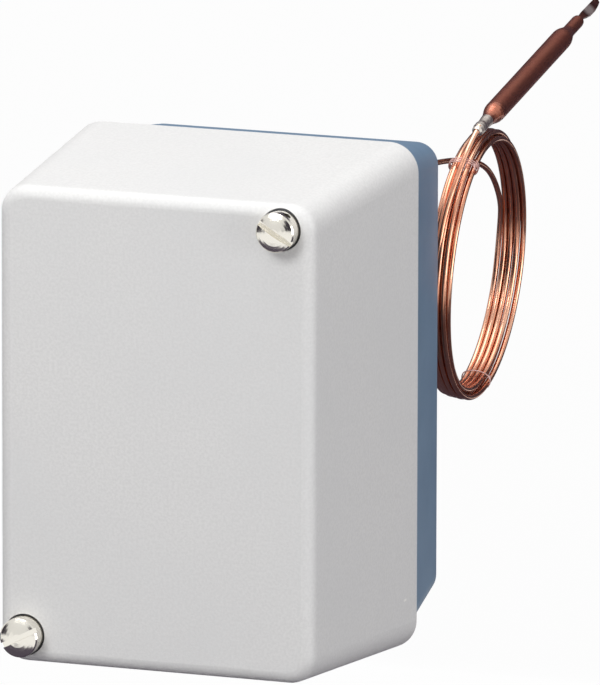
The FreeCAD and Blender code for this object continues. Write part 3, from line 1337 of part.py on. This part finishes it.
# Leads from the switch tabs, round the left side wall, down into the terminals
receptacles = []
receptacle_back = switch_back + S["switch_deep"] + 0.4
receptacle_front = receptacle_back + S["receptacle_deep"]
for i in (-1, 0, 1):
    tab_x = i * S["tab_pitch"]
    shell = block("receptacle_shell_%d" % (i + 2), tab_x - S["receptacle_wide"] / 2, receptacle_back,
                  trip_z - S["receptacle_thick"] / 2, S["receptacle_wide"], S["receptacle_deep"],
                  S["receptacle_thick"])
    blade = block("receptacle_slot_%d" % (i + 2), tab_x - S["tab_wide"] / 2 - S["fit_gap"], receptacle_back - 1.0,
                  trip_z - S["tab_thick"] / 2 - S["fit_gap"], S["tab_wide"] + 2 * S["fit_gap"],
                  S["tab_long"] + 0.8, S["tab_thick"] + 2 * S["fit_gap"])
    receptacles.append(cut("receptacle_%d" % (i + 2), shell, blade))
node(group("receptacle_set", *receptacles), "lead_receptacles")
way_x = [x for label, x in way_spots()]
mouth_depth = cage_back + 1.5 + cage_mouth / 2
lead_end = -S["block_z"] - 1.0
lead_routes = (
    ((-S["tab_pitch"], -receptacle_front, trip_z), (-8.6, -54.8, 30.1), (-12.5, -57.6, 30.0), (-17.8, -57.4, 28.6),
     (-23.0, -54.0, 26.0), (-26.6, -48.0, 21.5), (-27.6, -41.0, 14.0), (-27.6, -34.5, 5.0), (-27.2, -29.0, -4.5),
     (-25.4, -24.5, -12.5), (-20.8, -20.5, -17.4), (-14.0, -17.5, -18.6), (-8.2, -15.0, -18.4),
     (-3.6, -12.4, -20.4), (-2.2, -10.5, -25.0), (way_x[0], -mouth_depth, -29.4),
     (way_x[0] + 0.1, -mouth_depth, lead_end)),
    ((0.0, -receptacle_front, trip_z), (-0.2, -55.8, 30.1), (-5.0, -59.8, 30.4), (-11.8, -60.6, 30.2),
     (-19.0, -59.6, 28.9), (-25.0, -55.2, 26.0), (-29.0, -48.6, 21.5), (-30.0, -41.4, 14.0), (-30.0, -34.6, 4.8),
     (-29.6, -28.6, -5.4), (-27.4, -24.0, -14.8), (-22.0, -23.0, -20.2), (-14.4, -20.6, -21.6),
     (-6.6, -18.4, -21.0), (0.4, -16.4, -19.8), (5.4, -13.6, -19.6), (7.7, -11.0, -23.4),
     (way_x[1], -mouth_depth, -28.4), (way_x[1] + 0.1, -mouth_depth, lead_end)),
    ((S["tab_pitch"], -receptacle_front, trip_z), (8.2, -57.0, 30.1), (3.6, -61.8, 30.6), (-3.6, -63.1, 30.8),
     (-12.0, -63.1, 30.5), (-20.4, -61.8, 29.0), (-27.0, -57.0, 26.0), (-31.4, -49.6, 21.5), (-32.4, -41.8, 14.0),
     (-32.4, -34.4, 4.6), (-32.0, -28.0, -6.0), (-29.6, -24.4, -16.4), (-23.6, -25.2, -22.6),
     (-15.0, -23.6, -23.8), (-6.4, -21.4, -23.2), (2.0, -19.4, -22.2), (9.6, -17.0, -20.6),
     (15.2, -13.8, -19.8), (17.7, -11.0, -23.4), (way_x[2], -mouth_depth, -28.4),
     (way_x[2] + 0.1, -mouth_depth, lead_end)),
)
leads = [tube("switch_lead_%d" % (i + 1), route, S["switch_lead_r"]) for i, route in enumerate(lead_routes)]
node(group("switch_lead_set", *leads), "switch_leads")


# Write the sub-parts
def report_faults():
    """Stop if any feature failed or any sub-part has no good shape."""
    for thing in doc.Objects:
        if "Invalid" in thing.State or "Error" in thing.State:
            raise RuntimeError("%s failed: %s" % (thing.Label, thing.State))
    for thing in NODES:
        shape = thing.Shape
        if shape.isNull() or not shape.isValid() or not shape.Solids:
            raise RuntimeError("%s has no good solid" % thing.Label)


doc.recompute()
report_faults()
os.makedirs("parts", exist_ok=True)
for thing in NODES:
    thing.Shape.exportStep(os.path.join("parts", thing.Label + ".step"))
    box = thing.Shape.BoundBox
    print("%-18s solids %d volume %9.1f  x %.1f..%.1f y %.1f..%.1f z %.1f..%.1f" % (
        thing.Label, len(thing.Shape.Solids), thing.Shape.Volume,
        box.XMin, box.XMax, box.YMin, box.YMax, box.ZMin, box.ZMax))
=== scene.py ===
# %% [markdown]
# # A temperature monitor with a coiled capillary
#
# The object is a wall housing: a blue-grey tray that is fixed to the wall and a deep, light grey
# cover that two sealing screws hold on. A thin copper capillary leaves the tray's back. It is
# wound into a coil of about seven and a half turns and ends in a sensor bulb.
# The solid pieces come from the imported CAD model. This lesson gives them their surfaces, winds
# the capillary as one tube, and sets up a light and a camera like the photograph's.

# %% Load the frame
import bpy
import json
import math
from mathutils import Matrix, Vector


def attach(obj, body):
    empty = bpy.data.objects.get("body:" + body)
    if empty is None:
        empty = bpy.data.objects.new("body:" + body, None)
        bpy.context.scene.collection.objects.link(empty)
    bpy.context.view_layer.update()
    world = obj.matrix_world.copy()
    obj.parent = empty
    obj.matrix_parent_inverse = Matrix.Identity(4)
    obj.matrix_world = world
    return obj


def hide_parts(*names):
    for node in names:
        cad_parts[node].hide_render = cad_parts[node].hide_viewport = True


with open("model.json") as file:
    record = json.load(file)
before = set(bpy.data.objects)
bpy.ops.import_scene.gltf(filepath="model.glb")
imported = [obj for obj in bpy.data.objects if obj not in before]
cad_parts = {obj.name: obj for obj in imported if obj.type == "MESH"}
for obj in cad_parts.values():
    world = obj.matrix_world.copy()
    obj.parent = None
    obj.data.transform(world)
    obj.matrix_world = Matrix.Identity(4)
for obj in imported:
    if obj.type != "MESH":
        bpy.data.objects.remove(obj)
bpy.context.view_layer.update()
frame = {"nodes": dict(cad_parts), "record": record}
nodes = frame["nodes"]

MM = 0.001


def mm(*numbers):
    """A point given in millimetres, as metres."""
    return Vector(numbers) * MM


def linear(red, green, blue):
    """An sRGB colour given from 0 to 255, as the linear colour that shaders use."""
    def channel(value):
        value = value / 255
        return value / 12.92 if value <= 0.04045 else ((value + 0.055) / 1.055) ** 2.4
    return (channel(red), channel(green), channel(blue), 1.0)


# %% [markdown]
# ## Helpers for procedural materials
#
# Every surface is made of shader nodes on Object coordinates, so it sticks to the piece and
# needs no image. One helper starts a material, one adds a noise, one mixes two colours by a
# mask and one turns a height into bumps.

# %% Material helpers
class Surface:
    """A small builder for one material's node tree."""

    def __init__(self, name, color, roughness, metallic=0.0, coat=0.0):
        self.material = bpy.data.materials.new(name)
        self.material.use_nodes = True
        self.tree = self.material.node_tree
        self.shader = self.tree.nodes["Principled BSDF"]
        self.put(self.shader, "Base Color", color)
        self.put(self.shader, "Roughness", roughness)
        self.put(self.shader, "Metallic", metallic)
        self.put(self.shader, "Coat Weight", coat)
        self.place = self.tree.nodes.new("ShaderNodeTexCoord").outputs["Object"]

    def put(self, node, name, value):
        """Set a socket, or link it when the value is another node's output."""
        socket = node.inputs[name]
        if isinstance(value, bpy.types.NodeSocket):
            self.tree.links.new(value, socket)
        else:
            socket.default_value = value

    def add(self, kind, output, **inputs):
        """Add one node, set its inputs by name or number, and return one output."""
        node = self.tree.nodes.new(kind)
        for name, value in inputs.items():
            if name.startswith("set_"):
                setattr(node, name[4:], value)
            else:
                key = int(name[1:]) if name[0] == "i" and name[1:].isdigit() else name.replace("_", " ")
                self.put(node, key, value)
        return node.outputs[output]

    def noise(self, scale, detail=3.0, rough=0.55, place=None, distortion=0.0):
        """A noise value between 0 and 1."""
        return self.add("ShaderNodeTexNoise", "Fac", Vector=place or self.place, Scale=scale,
                        Detail=detail, Roughness=rough, Distortion=distortion)

    def ramp(self, value, low, high, start=0.0, end=1.0):
        """Stretch a value from one span to another and clamp it."""
        return self.add("ShaderNodeMapRange", 0, i0=value, i1=low, i2=high, i3=start, i4=end)

    def math(self, how, first, second=0.5):
        """One sum on one or two values."""
        return self.add("ShaderNodeMath", 0, set_operation=how, i0=first, i1=second)

    def mix(self, mask, first, second):
        """Blend two colours."""
        node = self.tree.nodes.new("ShaderNodeMix")
        node.data_type = "RGBA"
        self.put(node, 0, mask)
        for key, value in ((6, first), (7, second)):
            self.put(node, key, value)
        return node.outputs[2]

    def bump(self, height, strength, distance, under=None):
        """Turn a height into a tilted normal."""
        inputs = dict(Height=height, Strength=strength, Distance=distance)
        if under is not None:
            inputs["Normal"] = under
        return self.add("ShaderNodeBump", 0, **inputs)

    def blob(self, centre, radius, soft=0.5, squash=(1, 1, 1)):
        """A soft spot, 1 at its centre and 0 outside."""
        moved = self.add("ShaderNodeVectorMath", 0, set_operation="SUBTRACT", i0=self.place, i1=centre)
        scaled = self.add("ShaderNodeVectorMath", 0, set_operation="MULTIPLY", i0=moved, i1=squash)
        reach = self.add("ShaderNodeVectorMath", 1, set_operation="LENGTH", i0=scaled)
        return self.ramp(reach, radius * soft, radius, 1.0, 0.0)


def wear(thing, surface):
    """Give an object or several a material, in every slot."""
    for obj in thing if isinstance(thing, (list, tuple)) else [thing]:
        material = surface.material
        if not obj.data.materials:
            obj.data.materials.append(material)
        for slot in obj.material_slots:
            slot.material = material


# %% [markdown]
# ## The cover's plastic
#
# The cover is moulded from filled plastic. The mould's spark-eroded wall leaves a very fine
# grain, which shows as faint speckle and breaks the highlights along the soft edges. The real
# cover also has a few tiny marks: a pale nick near the bottom right of the front, a brown stain
# on the lower edge and two or three dark specks on the right side.

# %% Cover material
cover_skin = Surface("cover_plastic", linear(226, 225, 223), 0.5)
fine = cover_skin.noise(2600.0, 2.0, 0.6)
soft = cover_skin.noise(28.0, 2.0, 0.5)
speckle = cover_skin.noise(1500.0, 1.0, 0.5)
shade = cover_skin.mix(cover_skin.ramp(speckle, 0.35, 0.65), linear(222, 221, 219), linear(229, 228, 226))
shade = cover_skin.mix(cover_skin.ramp(soft, 0.35, 0.7, 0.0, 0.5), shade, linear(221, 221, 220))
nick = cover_skin.blob(mm(42.0, -36.7, -46.8), 1.1 * MM, 0.3, (1, 1, 2.6))
stain = cover_skin.blob(mm(34.5, -87.6, -56.6), 1.3 * MM, 0.2, (1, 1, 2.2))
specks = cover_skin.blob(mm(42.0, -51.5, 43.6), 0.5 * MM, 0.4)
shade = cover_skin.mix(nick, shade, linear(250, 248, 244))
shade = cover_skin.mix(cover_skin.math("MULTIPLY", stain, 0.7), shade, linear(150, 116, 84))
shade = cover_skin.mix(cover_skin.math("MULTIPLY", specks, 0.6), shade, linear(120, 118, 116))
cover_skin.put(cover_skin.shader, "Base Color", shade)
cover_skin.put(cover_skin.shader, "Normal", cover_skin.bump(fine, 0.28, 0.00012))
cover_skin.put(cover_skin.shader, "Roughness", cover_skin.ramp(fine, 0.3, 0.7, 0.42, 0.58))
wear(nodes["cover"], cover_skin)

# %% [markdown]
# ## The tray's plastic
#
# The tray is the same kind of moulding in a blue grey, with one colour all over. Seen from the
# camera it is a narrow strip behind the cover. In the photograph its top edge is much darker than
# its side. That is a reflection, so it is left to the light and not painted on, and the light
# here only darkens it in part.

# %% Tray material
tray_skin = Surface("tray_plastic", linear(104, 125, 152), 0.42)
tray_grain = tray_skin.noise(2200.0, 2.0, 0.6)
tray_cloud = tray_skin.noise(60.0, 3.0, 0.55)
tray_shade = tray_skin.mix(tray_skin.ramp(tray_cloud, 0.3, 0.7), linear(106, 131, 156), linear(118, 143, 167))
tray_skin.put(tray_skin.shader, "Base Color", tray_shade)
tray_skin.put(tray_skin.shader, "Normal", tray_skin.bump(tray_grain, 0.25, 0.0001))
wear(nodes["base_tray"], tray_skin)

# %% [markdown]
# ## Metals and small mouldings
#
# Inside the cover there are zinc-plated sheet, brass, spring steel and small mouldings. They
# share a few recipes. Plated steel gets a fine cloud in its roughness, so that it isn't a mirror.

# %% Metals and mouldings
def metal(name, color, roughness, cloud=0.06):
    """A metal whose polish varies a little."""
    made = Surface(name, color, roughness, metallic=1.0)
    haze = made.noise(340.0, 4.0, 0.6)
    made.put(made.shader, "Roughness", made.ramp(haze, 0.3, 0.7, roughness - cloud, roughness + cloud))
    made.put(made.shader, "Normal", made.bump(made.noise(900.0, 3.0, 0.6), 0.06, 0.0001))
    return made


def moulding(name, color, roughness):
    """A plain moulded plastic or rubber with a light grain."""
    made = Surface(name, color, roughness)
    made.put(made.shader, "Normal", made.bump(made.noise(1500.0, 2.0, 0.5), 0.12, 0.0001))
    return made


nickel = metal("nickel", linear(240, 236, 226), 0.14, 0.04)
zinc = metal("zinc", linear(196, 200, 206), 0.34)
steel = metal("spring_steel", linear(168, 168, 172), 0.28)
brass = metal("brass", linear(206, 172, 98), 0.27)
seal_rubber = moulding("seal_rubber", linear(62, 62, 66), 0.7)
black_rubber = moulding("black_rubber", linear(32, 32, 33), 0.6)
dial_white = moulding("dial_plastic", linear(232, 231, 226), 0.3)
switch_black = moulding("switch_plastic", linear(34, 34, 36), 0.45)
plunger_red = moulding("plunger_plastic", linear(170, 40, 30), 0.4)
block_cream = moulding("block_plastic", linear(226, 221, 204), 0.5)
gland_grey = moulding("gland_plastic", linear(132, 135, 140), 0.5)
lead_black = moulding("lead_plastic", linear(44, 44, 48), 0.35)

RECIPES = {
    "nickel": nickel, "zinc": zinc, "capsule_steel": steel, "brass": brass, "seal_rubber": seal_rubber,
    "black_rubber": black_rubber, "dial_plastic": dial_white, "switch_plastic": switch_black,
    "plunger_plastic": plunger_red, "block_plastic": block_cream, "gland_plastic": gland_grey,
    "lead_plastic": lead_black,
}
for part in frame["record"]["subparts"]:
    if part["material_slot"] in RECIPES:
        wear(nodes[part["node"]], RECIPES[part["material_slot"]])
print("plain recipes:", len(RECIPES))

# %% [markdown]
# ## Copper
#
# The capillary is drawn copper tube that has darkened a little in store. Drawn tube has a very
# smooth, oily-bright skin: it mirrors the light above as cream stripes and the dark room as
# brown and violet. The bulb is thicker tube with a duller, redder skin.

# %% Copper materials
copper = Surface("copper", linear(205, 128, 92), 0.2, metallic=1.0)
tarnish = copper.noise(95.0, 3.0, 0.6)
copper_shade = copper.mix(copper.ramp(tarnish, 0.35, 0.75), linear(240, 186, 158), linear(214, 142, 112))
copper.put(copper.shader, "Base Color", copper_shade)
copper.put(copper.shader, "Roughness", copper.ramp(copper.noise(500.0), 0.3, 0.7, 0.16, 0.27))

bulb_copper = Surface("bulb_copper", linear(170, 100, 80), 0.4, metallic=1.0, coat=0.4)
handled = bulb_copper.noise(170.0, 4.0, 0.6)
bulb_shade = bulb_copper.mix(bulb_copper.ramp(handled, 0.3, 0.7), linear(204, 126, 100), linear(152, 86, 70))
bulb_copper.put(bulb_copper.shader, "Base Color", bulb_shade)
bulb_copper.put(bulb_copper.shader, "Roughness", bulb_copper.ramp(handled, 0.3, 0.7, 0.26, 0.4))

tin = metal("solder", linear(228, 218, 208), 0.3, 0.08)
tie_skin = Surface("tie_wire", linear(226, 186, 180), 0.35, metallic=0.3)
tail_skin = Surface("filling_tube", linear(150, 96, 84), 0.34, metallic=1.0)
tinned = tail_skin.math("MAXIMUM", tail_skin.blob(mm(37.98, 104.5, 67.7), 3.0 * MM, 0.4),
                        tail_skin.blob(mm(37.9, 115.2, 69.6), 2.4 * MM, 0.5))
tail_cloud = tail_skin.ramp(tail_skin.noise(300.0), 0.35, 0.65)
tail_shade = tail_skin.mix(tail_cloud, linear(136, 86, 76), linear(92, 58, 56))
tail_skin.put(tail_skin.shader, "Base Color", tail_skin.mix(tinned, tail_shade, linear(226, 210, 204)))
wear(nodes["filling_tube"], tail_skin)
for name in ("capillary_inner", "capillary_lead", "capillary_end"):
    wear(nodes[name], copper)
wear(nodes["sensor_bulb"], bulb_copper)
wear(nodes["bulb_solder"], tin)

# %% [markdown]
# ## The capillary
#
# On the real monitor the tube is long enough for the bulb to reach a duct or a vessel. It comes
# as a coil, held with thin ties. Part of the bundle is hidden in the photograph, so the number of
# turns is a guess that fills its thickness, and so is the tube's length. The tube
# is drawn a little thicker than in CAD, as its strands look. The whole tube is one smooth curve:
# first the lead from the bush in the tray's back, then the turns, then the end that runs up
# into the solder. The coil is wound as a person would wind it: four turns side by side from
# the left to the right, then the rest back over them. Each turn is given by where it lies across
# the bundle and how far from the middle, at the right, bottom, left and top of the ring.

# %% Wind the capillary
WIRE = 1.35
RING_MIDDLE = Vector((33.7, 35.4, 19.05))
RING_NORMAL = Vector((0.9977, 0.0355, -0.0584)).normalized()
ring_back = Vector((-0.0355, 0.9994, 0.0))
ring_back = (ring_back - RING_NORMAL * ring_back.dot(RING_NORMAL)).normalized()
ring_up = RING_NORMAL.cross(ring_back)

LEAD = [(23.5, 0.0, 42.5), (23.6, 7.5, 42.9), (25.2, 16.0, 44.4), (28.2, 25.5, 44.6),
        (30.1, 36.0, 43.2), (31.2, 46.5, 40.6), (31.2, 55.2, 36.0), (31.3, 60.9, 28.6)]
ACROSS = [(-3.1, -2.9, -1.9, -2.0), (-1.6, -1.4, -0.3, -0.5),
          (-0.1, 0.1, 1.25, 1.0), (1.4, 1.6, 2.8, 2.4),
          (2.5, 2.4, 1.9, 1.6), (1.0, 0.9, 0.4, 0.1), (-0.5, -0.5, -1.0, -1.3), (-1.8, -1.7, -0.6, 0.6)]
RADII = [(29.0, 31.5, 30.2, 30.1), (29.0, 30.6, 29.4, 29.7),
         (29.0, 30.4, 29.4, 29.6), (29.0, 30.4, 29.4, 29.5),
         (30.6, 32.2, 30.8, 31.1), (30.6, 32.2, 30.9, 31.2), (30.7, 32.0, 30.9, 31.2), (30.6, 31.9, 31.0, 32.6)]
POINTS_PER_TURN = 24
TURNS = 7.52
JOIN = (8.0, 28.2, -2.6)
RISE = [(158, 31.5, -0.2), (145, 32.0, 0.1), (134, 33.0, 0.8), (125, 34.4, 1.4), (117, 36.1, 2.0)]
BULB_FOOT = Vector((38.47, 29.70, 54.38))
BULB_WAY = Vector((-0.0064, 0.9846, 0.1751)).normalized()
SOLDER_LONG = 8.0
SOLDER_GRIP = 2.0


def on_ring(angle, radius, across):
    """A point of the coil, in millimetres."""
    angle = math.radians(angle)
    return (RING_MIDDLE + ring_back * (radius * math.cos(angle)) + ring_up * (radius * math.sin(angle))
            + RING_NORMAL * across)


def between(table, turns):
    """Smooth value of a table of quarter turns."""
    whole = [value for turn in table for value in turn]
    spot = turns * 4
    first = int(math.floor(spot))
    part = spot - first
    near = [whole[min(max(first + step, 0), len(whole) - 1)] for step in (-1, 0, 1, 2)]
    return 0.5 * (2 * near[1] + (near[2] - near[0]) * part
                  + (2 * near[0] - 5 * near[1] + 4 * near[2] - near[3]) * part ** 2
                  + (3 * near[1] - near[0] - 3 * near[2] + near[3]) * part ** 3)


route = [Vector(point) for point in LEAD]
route.append(on_ring(*JOIN))
swell = 1 / math.cos(math.pi / POINTS_PER_TURN)
total = int(TURNS * POINTS_PER_TURN)
for i in range(1, total + 1):
    turns = i / POINTS_PER_TURN
    route.append(on_ring(-360 * turns, between(RADII, turns) * swell, between(ACROSS, turns)))
for step in RISE:
    route.append(on_ring(*step))
solder_end = BULB_FOOT - BULB_WAY * SOLDER_LONG
route.append(solder_end + (solder_end - route[-1]).normalized() * SOLDER_GRIP)

line = bpy.data.curves.new("capillary", "CURVE")
line.dimensions = "3D"
line.bevel_depth = WIRE / 2 * MM
line.bevel_resolution = 4
line.use_fill_caps = True
spline = line.splines.new("NURBS")
spline.points.add(len(route) - 1)
for point, place in zip(spline.points, route):
    point.co = (*(place * MM), 1.0)
spline.order_u = 3
spline.use_endpoint_u = True
spline.resolution_u = 6
capillary = bpy.data.objects.new("capillary", line)
bpy.context.collection.objects.link(capillary)
wear(capillary, copper)


# %% [markdown]
# ## Ties
#
# Two thin ties keep the coil together: one high on the near side and one low on the far side.
# Each is a few loose wraps of fine wire round the whole bundle. Geometry Nodes sweeps a small
# round section along the wraps.

# %% Ties round the coil
def sweep_tree(name):
    """A node group that sweeps a round section along the input curve."""
    tree = bpy.data.node_groups.new(name, "GeometryNodeTree")
    tree.interface.new_socket("Geometry", in_out="INPUT", socket_type="NodeSocketGeometry")
    radius = tree.interface.new_socket("Radius", in_out="INPUT", socket_type="NodeSocketFloat")
    finish = tree.interface.new_socket("Material", in_out="INPUT", socket_type="NodeSocketMaterial")
    tree.interface.new_socket("Geometry", in_out="OUTPUT", socket_type="NodeSocketGeometry")
    start = tree.nodes.new("NodeGroupInput")
    end = tree.nodes.new("NodeGroupOutput")
    ring = tree.nodes.new("GeometryNodeCurvePrimitiveCircle")
    ring.inputs["Resolution"].default_value = 10
    sweep = tree.nodes.new("GeometryNodeCurveToMesh")
    sweep.inputs["Fill Caps"].default_value = True
    real = tree.nodes.new("GeometryNodeRealizeInstances")
    skin = tree.nodes.new("GeometryNodeSetMaterial")
    tree.links.new(start.outputs["Radius"], ring.inputs["Radius"])
    tree.links.new(start.outputs["Geometry"], sweep.inputs["Curve"])
    tree.links.new(ring.outputs["Curve"], sweep.inputs["Profile Curve"])
    tree.links.new(sweep.outputs["Mesh"], real.inputs["Geometry"])
    tree.links.new(real.outputs["Geometry"], skin.inputs["Geometry"])
    tree.links.new(start.outputs["Material"], skin.inputs["Material"])
    tree.links.new(skin.outputs["Geometry"], end.inputs["Geometry"])
    return tree, radius.identifier, finish.identifier


SWEEP, SWEEP_RADIUS, SWEEP_MATERIAL = sweep_tree("sweep_wire")


def wire(name, points, radius, surface, closed=False):
    """Sweep a round wire through points in millimetres and keep it as a plain mesh."""
    data = bpy.data.curves.new(name, "CURVE")
    data.dimensions = "3D"
    thread = data.splines.new("NURBS")
    thread.points.add(len(points) - 1)
    for point, place in zip(thread.points, points):
        point.co = (*(place * MM), 1.0)
    thread.order_u = 3
    thread.use_endpoint_u = not closed
    thread.use_cyclic_u = closed
    thread.resolution_u = 4
    source = bpy.data.objects.new(name + "_line", data)
    bpy.context.collection.objects.link(source)
    sweep = source.modifiers.new("sweep", "NODES")
    sweep.node_group = SWEEP
    sweep[SWEEP_RADIUS] = radius * MM
    sweep[SWEEP_MATERIAL] = surface.material
    bpy.context.view_layer.update()
    mesh = bpy.data.meshes.new_from_object(source.evaluated_get(bpy.context.evaluated_depsgraph_get()))
    bpy.data.objects.remove(source)
    made = bpy.data.objects.new(name, mesh)
    bpy.context.collection.objects.link(made)
    for face in mesh.polygons:
        face.use_smooth = True
    return made


STEPS_PER_WRAP = 16
HALF_DEEP = 2.35
HALF_WIDE = 3.55
TWIST = 0.35
TIE_RADIUS = 0.15


def tie(name, angle, wraps, drift, radius, across, tail):
    """A few wraps that hug the bundle at one angle of the ring, and a small twisted end."""
    points = []
    for i in range(int(wraps * STEPS_PER_WRAP) + 1):
        turn = 2 * math.pi * i / STEPS_PER_WRAP + 0.9
        along = angle + drift * (i / (wraps * STEPS_PER_WRAP) - 0.5)
        square = 1.0 / max(abs(math.cos(turn)), abs(math.sin(turn))) ** 0.3
        points.append(on_ring(along, radius + HALF_DEEP * square * math.cos(turn),
                              across + HALF_WIDE * square * math.sin(turn)))
    out = (on_ring(angle, 40.0, across) - on_ring(angle, 30.0, across)).normalized()
    along = RING_NORMAL.cross(out)
    last = points[-1] + out * 0.3
    for i in range(tail):
        turn = 2.1 * i
        points.append(last + out * (TWIST * math.sin(turn)) + along * (0.12 * i + TWIST * math.cos(turn))
                      + RING_NORMAL * (0.05 * i))
    return wire(name, points, TIE_RADIUS, tie_skin)


upper_tie = tie("upper_tie", 121.0, 3, 3.2, 30.3, 0.4, 14)
lower_tie = tie("lower_tie", -76.0, 1.2, 0.8, 31.2, -0.2, 4)

# %% [markdown]
# ## What rides on what
#
# The curve stands for the CAD lead and coil, and the wraps for the CAD ties. All of them belong
# to the housing, because nothing moves the capillary when the cover comes off.

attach(capillary, "housing")
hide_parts("capillary_lead", "capillary_coil", "capillary_end")
for piece, node in ((upper_tie, "coil_tie_upper"), (lower_tie, "coil_tie_lower")):
    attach(piece, "housing")
    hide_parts(node)

# %% [markdown]
# ## Floor, light and camera
#
# The photograph is a cut-out on white. A pale floor well below the object takes its shadow, and
# what lies behind is white to the camera and in reflections. A broad light from above makes the
# top the brightest face, a smaller one from the front left lights the front, and a third one
# lights the right side. Polished copper shows what stands round it, so dark cards out of the picture
# give its wires their brown and violet sides, as the dark end of a studio does. The camera is
# far away with a long lens, so the edges are nearly parallel.

# %% Floor and light
def panel(name, place, target, wide, high, power, color=(1, 1, 1)):
    """A rectangular studio light that looks at a target."""
    data = bpy.data.lights.new(name, "AREA")
    data.shape = "RECTANGLE"
    data.size = wide
    data.size_y = high
    data.energy = power
    data.color = color
    made = bpy.data.objects.new(name, data)
    made.location = place
    made.rotation_euler = (Vector(target) - Vector(place)).to_track_quat("-Z", "Y").to_euler()
    bpy.context.collection.objects.link(made)
    return made


floor_mesh = bpy.data.meshes.new("floor")
floor_mesh.from_pydata([(-4, -4, -0.3), (4, -4, -0.3), (4, 4, -0.3), (-4, 4, -0.3)], [], [(0, 1, 2, 3)])
floor = bpy.data.objects.new("floor", floor_mesh)
bpy.context.collection.objects.link(floor)
floor_skin = Surface("floor", (0.9, 0.9, 0.9, 1.0), 0.9)
paths = floor_skin.tree.nodes.new("ShaderNodeLightPath")
seen = floor_skin.math("MAXIMUM", paths.outputs["Is Camera Ray"], paths.outputs["Is Glossy Ray"])
glow = floor_skin.tree.nodes.new("ShaderNodeEmission")
blend = floor_skin.tree.nodes.new("ShaderNodeMixShader")
floor_skin.put(blend, "Fac", floor_skin.math("MULTIPLY", seen, 0.97))
floor_skin.tree.links.new(floor_skin.shader.outputs[0], blend.inputs[1])
floor_skin.tree.links.new(glow.outputs[0], blend.inputs[2])
floor_skin.tree.links.new(blend.outputs[0], floor_skin.tree.nodes["Material Output"].inputs["Surface"])
wear(floor, floor_skin)

world = bpy.data.worlds.new("studio")
bpy.context.scene.world = world
world.use_nodes = True
tree = world.node_tree
tree.nodes.clear()
rays = tree.nodes.new("ShaderNodeLightPath")
room = tree.nodes.new("ShaderNodeBackground")
room.inputs["Color"].default_value = (0.96, 0.97, 1.0, 1.0)
room.inputs["Strength"].default_value = 0.42
white = tree.nodes.new("ShaderNodeBackground")
white.inputs["Strength"].default_value = 1.0
either = tree.nodes.new("ShaderNodeMath")
either.operation = "MAXIMUM"
tree.links.new(rays.outputs["Is Camera Ray"], either.inputs[0])
tree.links.new(rays.outputs["Is Glossy Ray"], either.inputs[1])
choose = tree.nodes.new("ShaderNodeMixShader")
out = tree.nodes.new("ShaderNodeOutputWorld")
tree.links.new(either.outputs[0], choose.inputs["Fac"])
tree.links.new(room.outputs[0], choose.inputs[1])
tree.links.new(white.outputs[0], choose.inputs[2])
tree.links.new(choose.outputs[0], out.inputs["Surface"])

panel("top_light", (-0.15, 0.05, 1.3), (0, 0, 0), 1.1, 1.1, 11.6)
panel("front_light", (-0.45, -1.45, 1.05), (0, -0.05, 0), 0.8, 0.8, 15.0)
panel("side_light", (1.7, -0.4, 0.15), (0, -0.05, 0), 1.0, 1.0, 11.0)

card_skin = Surface("dark_card", linear(64, 56, 70), 0.9)
card_rays = card_skin.tree.nodes.new("ShaderNodeLightPath")
card_clear = card_skin.tree.nodes.new("ShaderNodeBsdfTransparent")
card_mix = card_skin.tree.nodes.new("ShaderNodeMixShader")
card_skin.put(card_mix, "Fac", card_rays.outputs["Is Camera Ray"])
card_skin.tree.links.new(card_skin.shader.outputs[0], card_mix.inputs[1])
card_skin.tree.links.new(card_clear.outputs[0], card_mix.inputs[2])
card_skin.tree.links.new(card_mix.outputs[0], card_skin.tree.nodes["Material Output"].inputs["Surface"])


def card(name, *corners):
    """A dark card out of the picture, which only reflections and soft light find."""
    mesh = bpy.data.meshes.new(name)
    mesh.from_pydata(corners, [], [(0, 1, 2, 3)])
    made = bpy.data.objects.new(name, mesh)
    bpy.context.collection.objects.link(made)
    wear(made, card_skin)


card("floor_card", (-3.0, -0.5, -0.29), (1.0, -0.5, -0.29), (1.0, 0.72, -0.29), (-3.0, 0.72, -0.29))
card("back_card", (-1.2, 0.9, -0.29), (1.3, 0.9, -0.29), (1.3, 0.9, 0.8), (-1.2, 0.9, 0.8))
card("far_card", (0.3, -3.4, -0.2), (2.3, -3.4, -0.2), (2.3, -3.4, 1.3), (0.3, -3.4, 1.3))
card("left_card", (-2.0, -2.0, -0.29), (-2.0, -0.6, -0.29), (-2.0, -0.6, 0.7), (-2.0, -2.0, 0.7))
card("left_floor_card", (-3.0, -2.0, -0.289), (-1.35, -2.0, -0.289),
     (-1.35, -0.5, -0.289), (-3.0, -0.5, -0.289))

# %% Camera
DISTANCE = 3042.8
PIXELS_PER_MM = 4.30
PICTURE_HIGH = 685
SENSOR = 36.0
ROLL = math.radians(0.13)
azimuth = math.radians(19.96)
elevation = math.radians(11.97)
right = Vector((math.cos(azimuth), math.sin(azimuth), 0))
back = Vector((math.sin(azimuth) * math.cos(elevation), -math.cos(azimuth) * math.cos(elevation),
               math.sin(elevation)))
up = back.cross(right)
target = Vector((0, -38, 0)) + right * 15.36 + up * 11.29
lens = bpy.data.cameras.new("camera")
lens.sensor_width = SENSOR
lens.lens = PIXELS_PER_MM * DISTANCE / PICTURE_HIGH * SENSOR
lens.clip_start = 0.1
lens.clip_end = 50.0
camera = bpy.data.objects.new("camera", lens)
turn = Matrix((right, up, back)).transposed() @ Matrix.Rotation(ROLL, 3, "Z")
camera.matrix_world = Matrix.Translation((target + back * DISTANCE) * MM) @ turn.to_4x4()
bpy.context.collection.objects.link(camera)
scene = bpy.context.scene
scene.camera = camera
scene.view_settings.view_transform = "Standard"
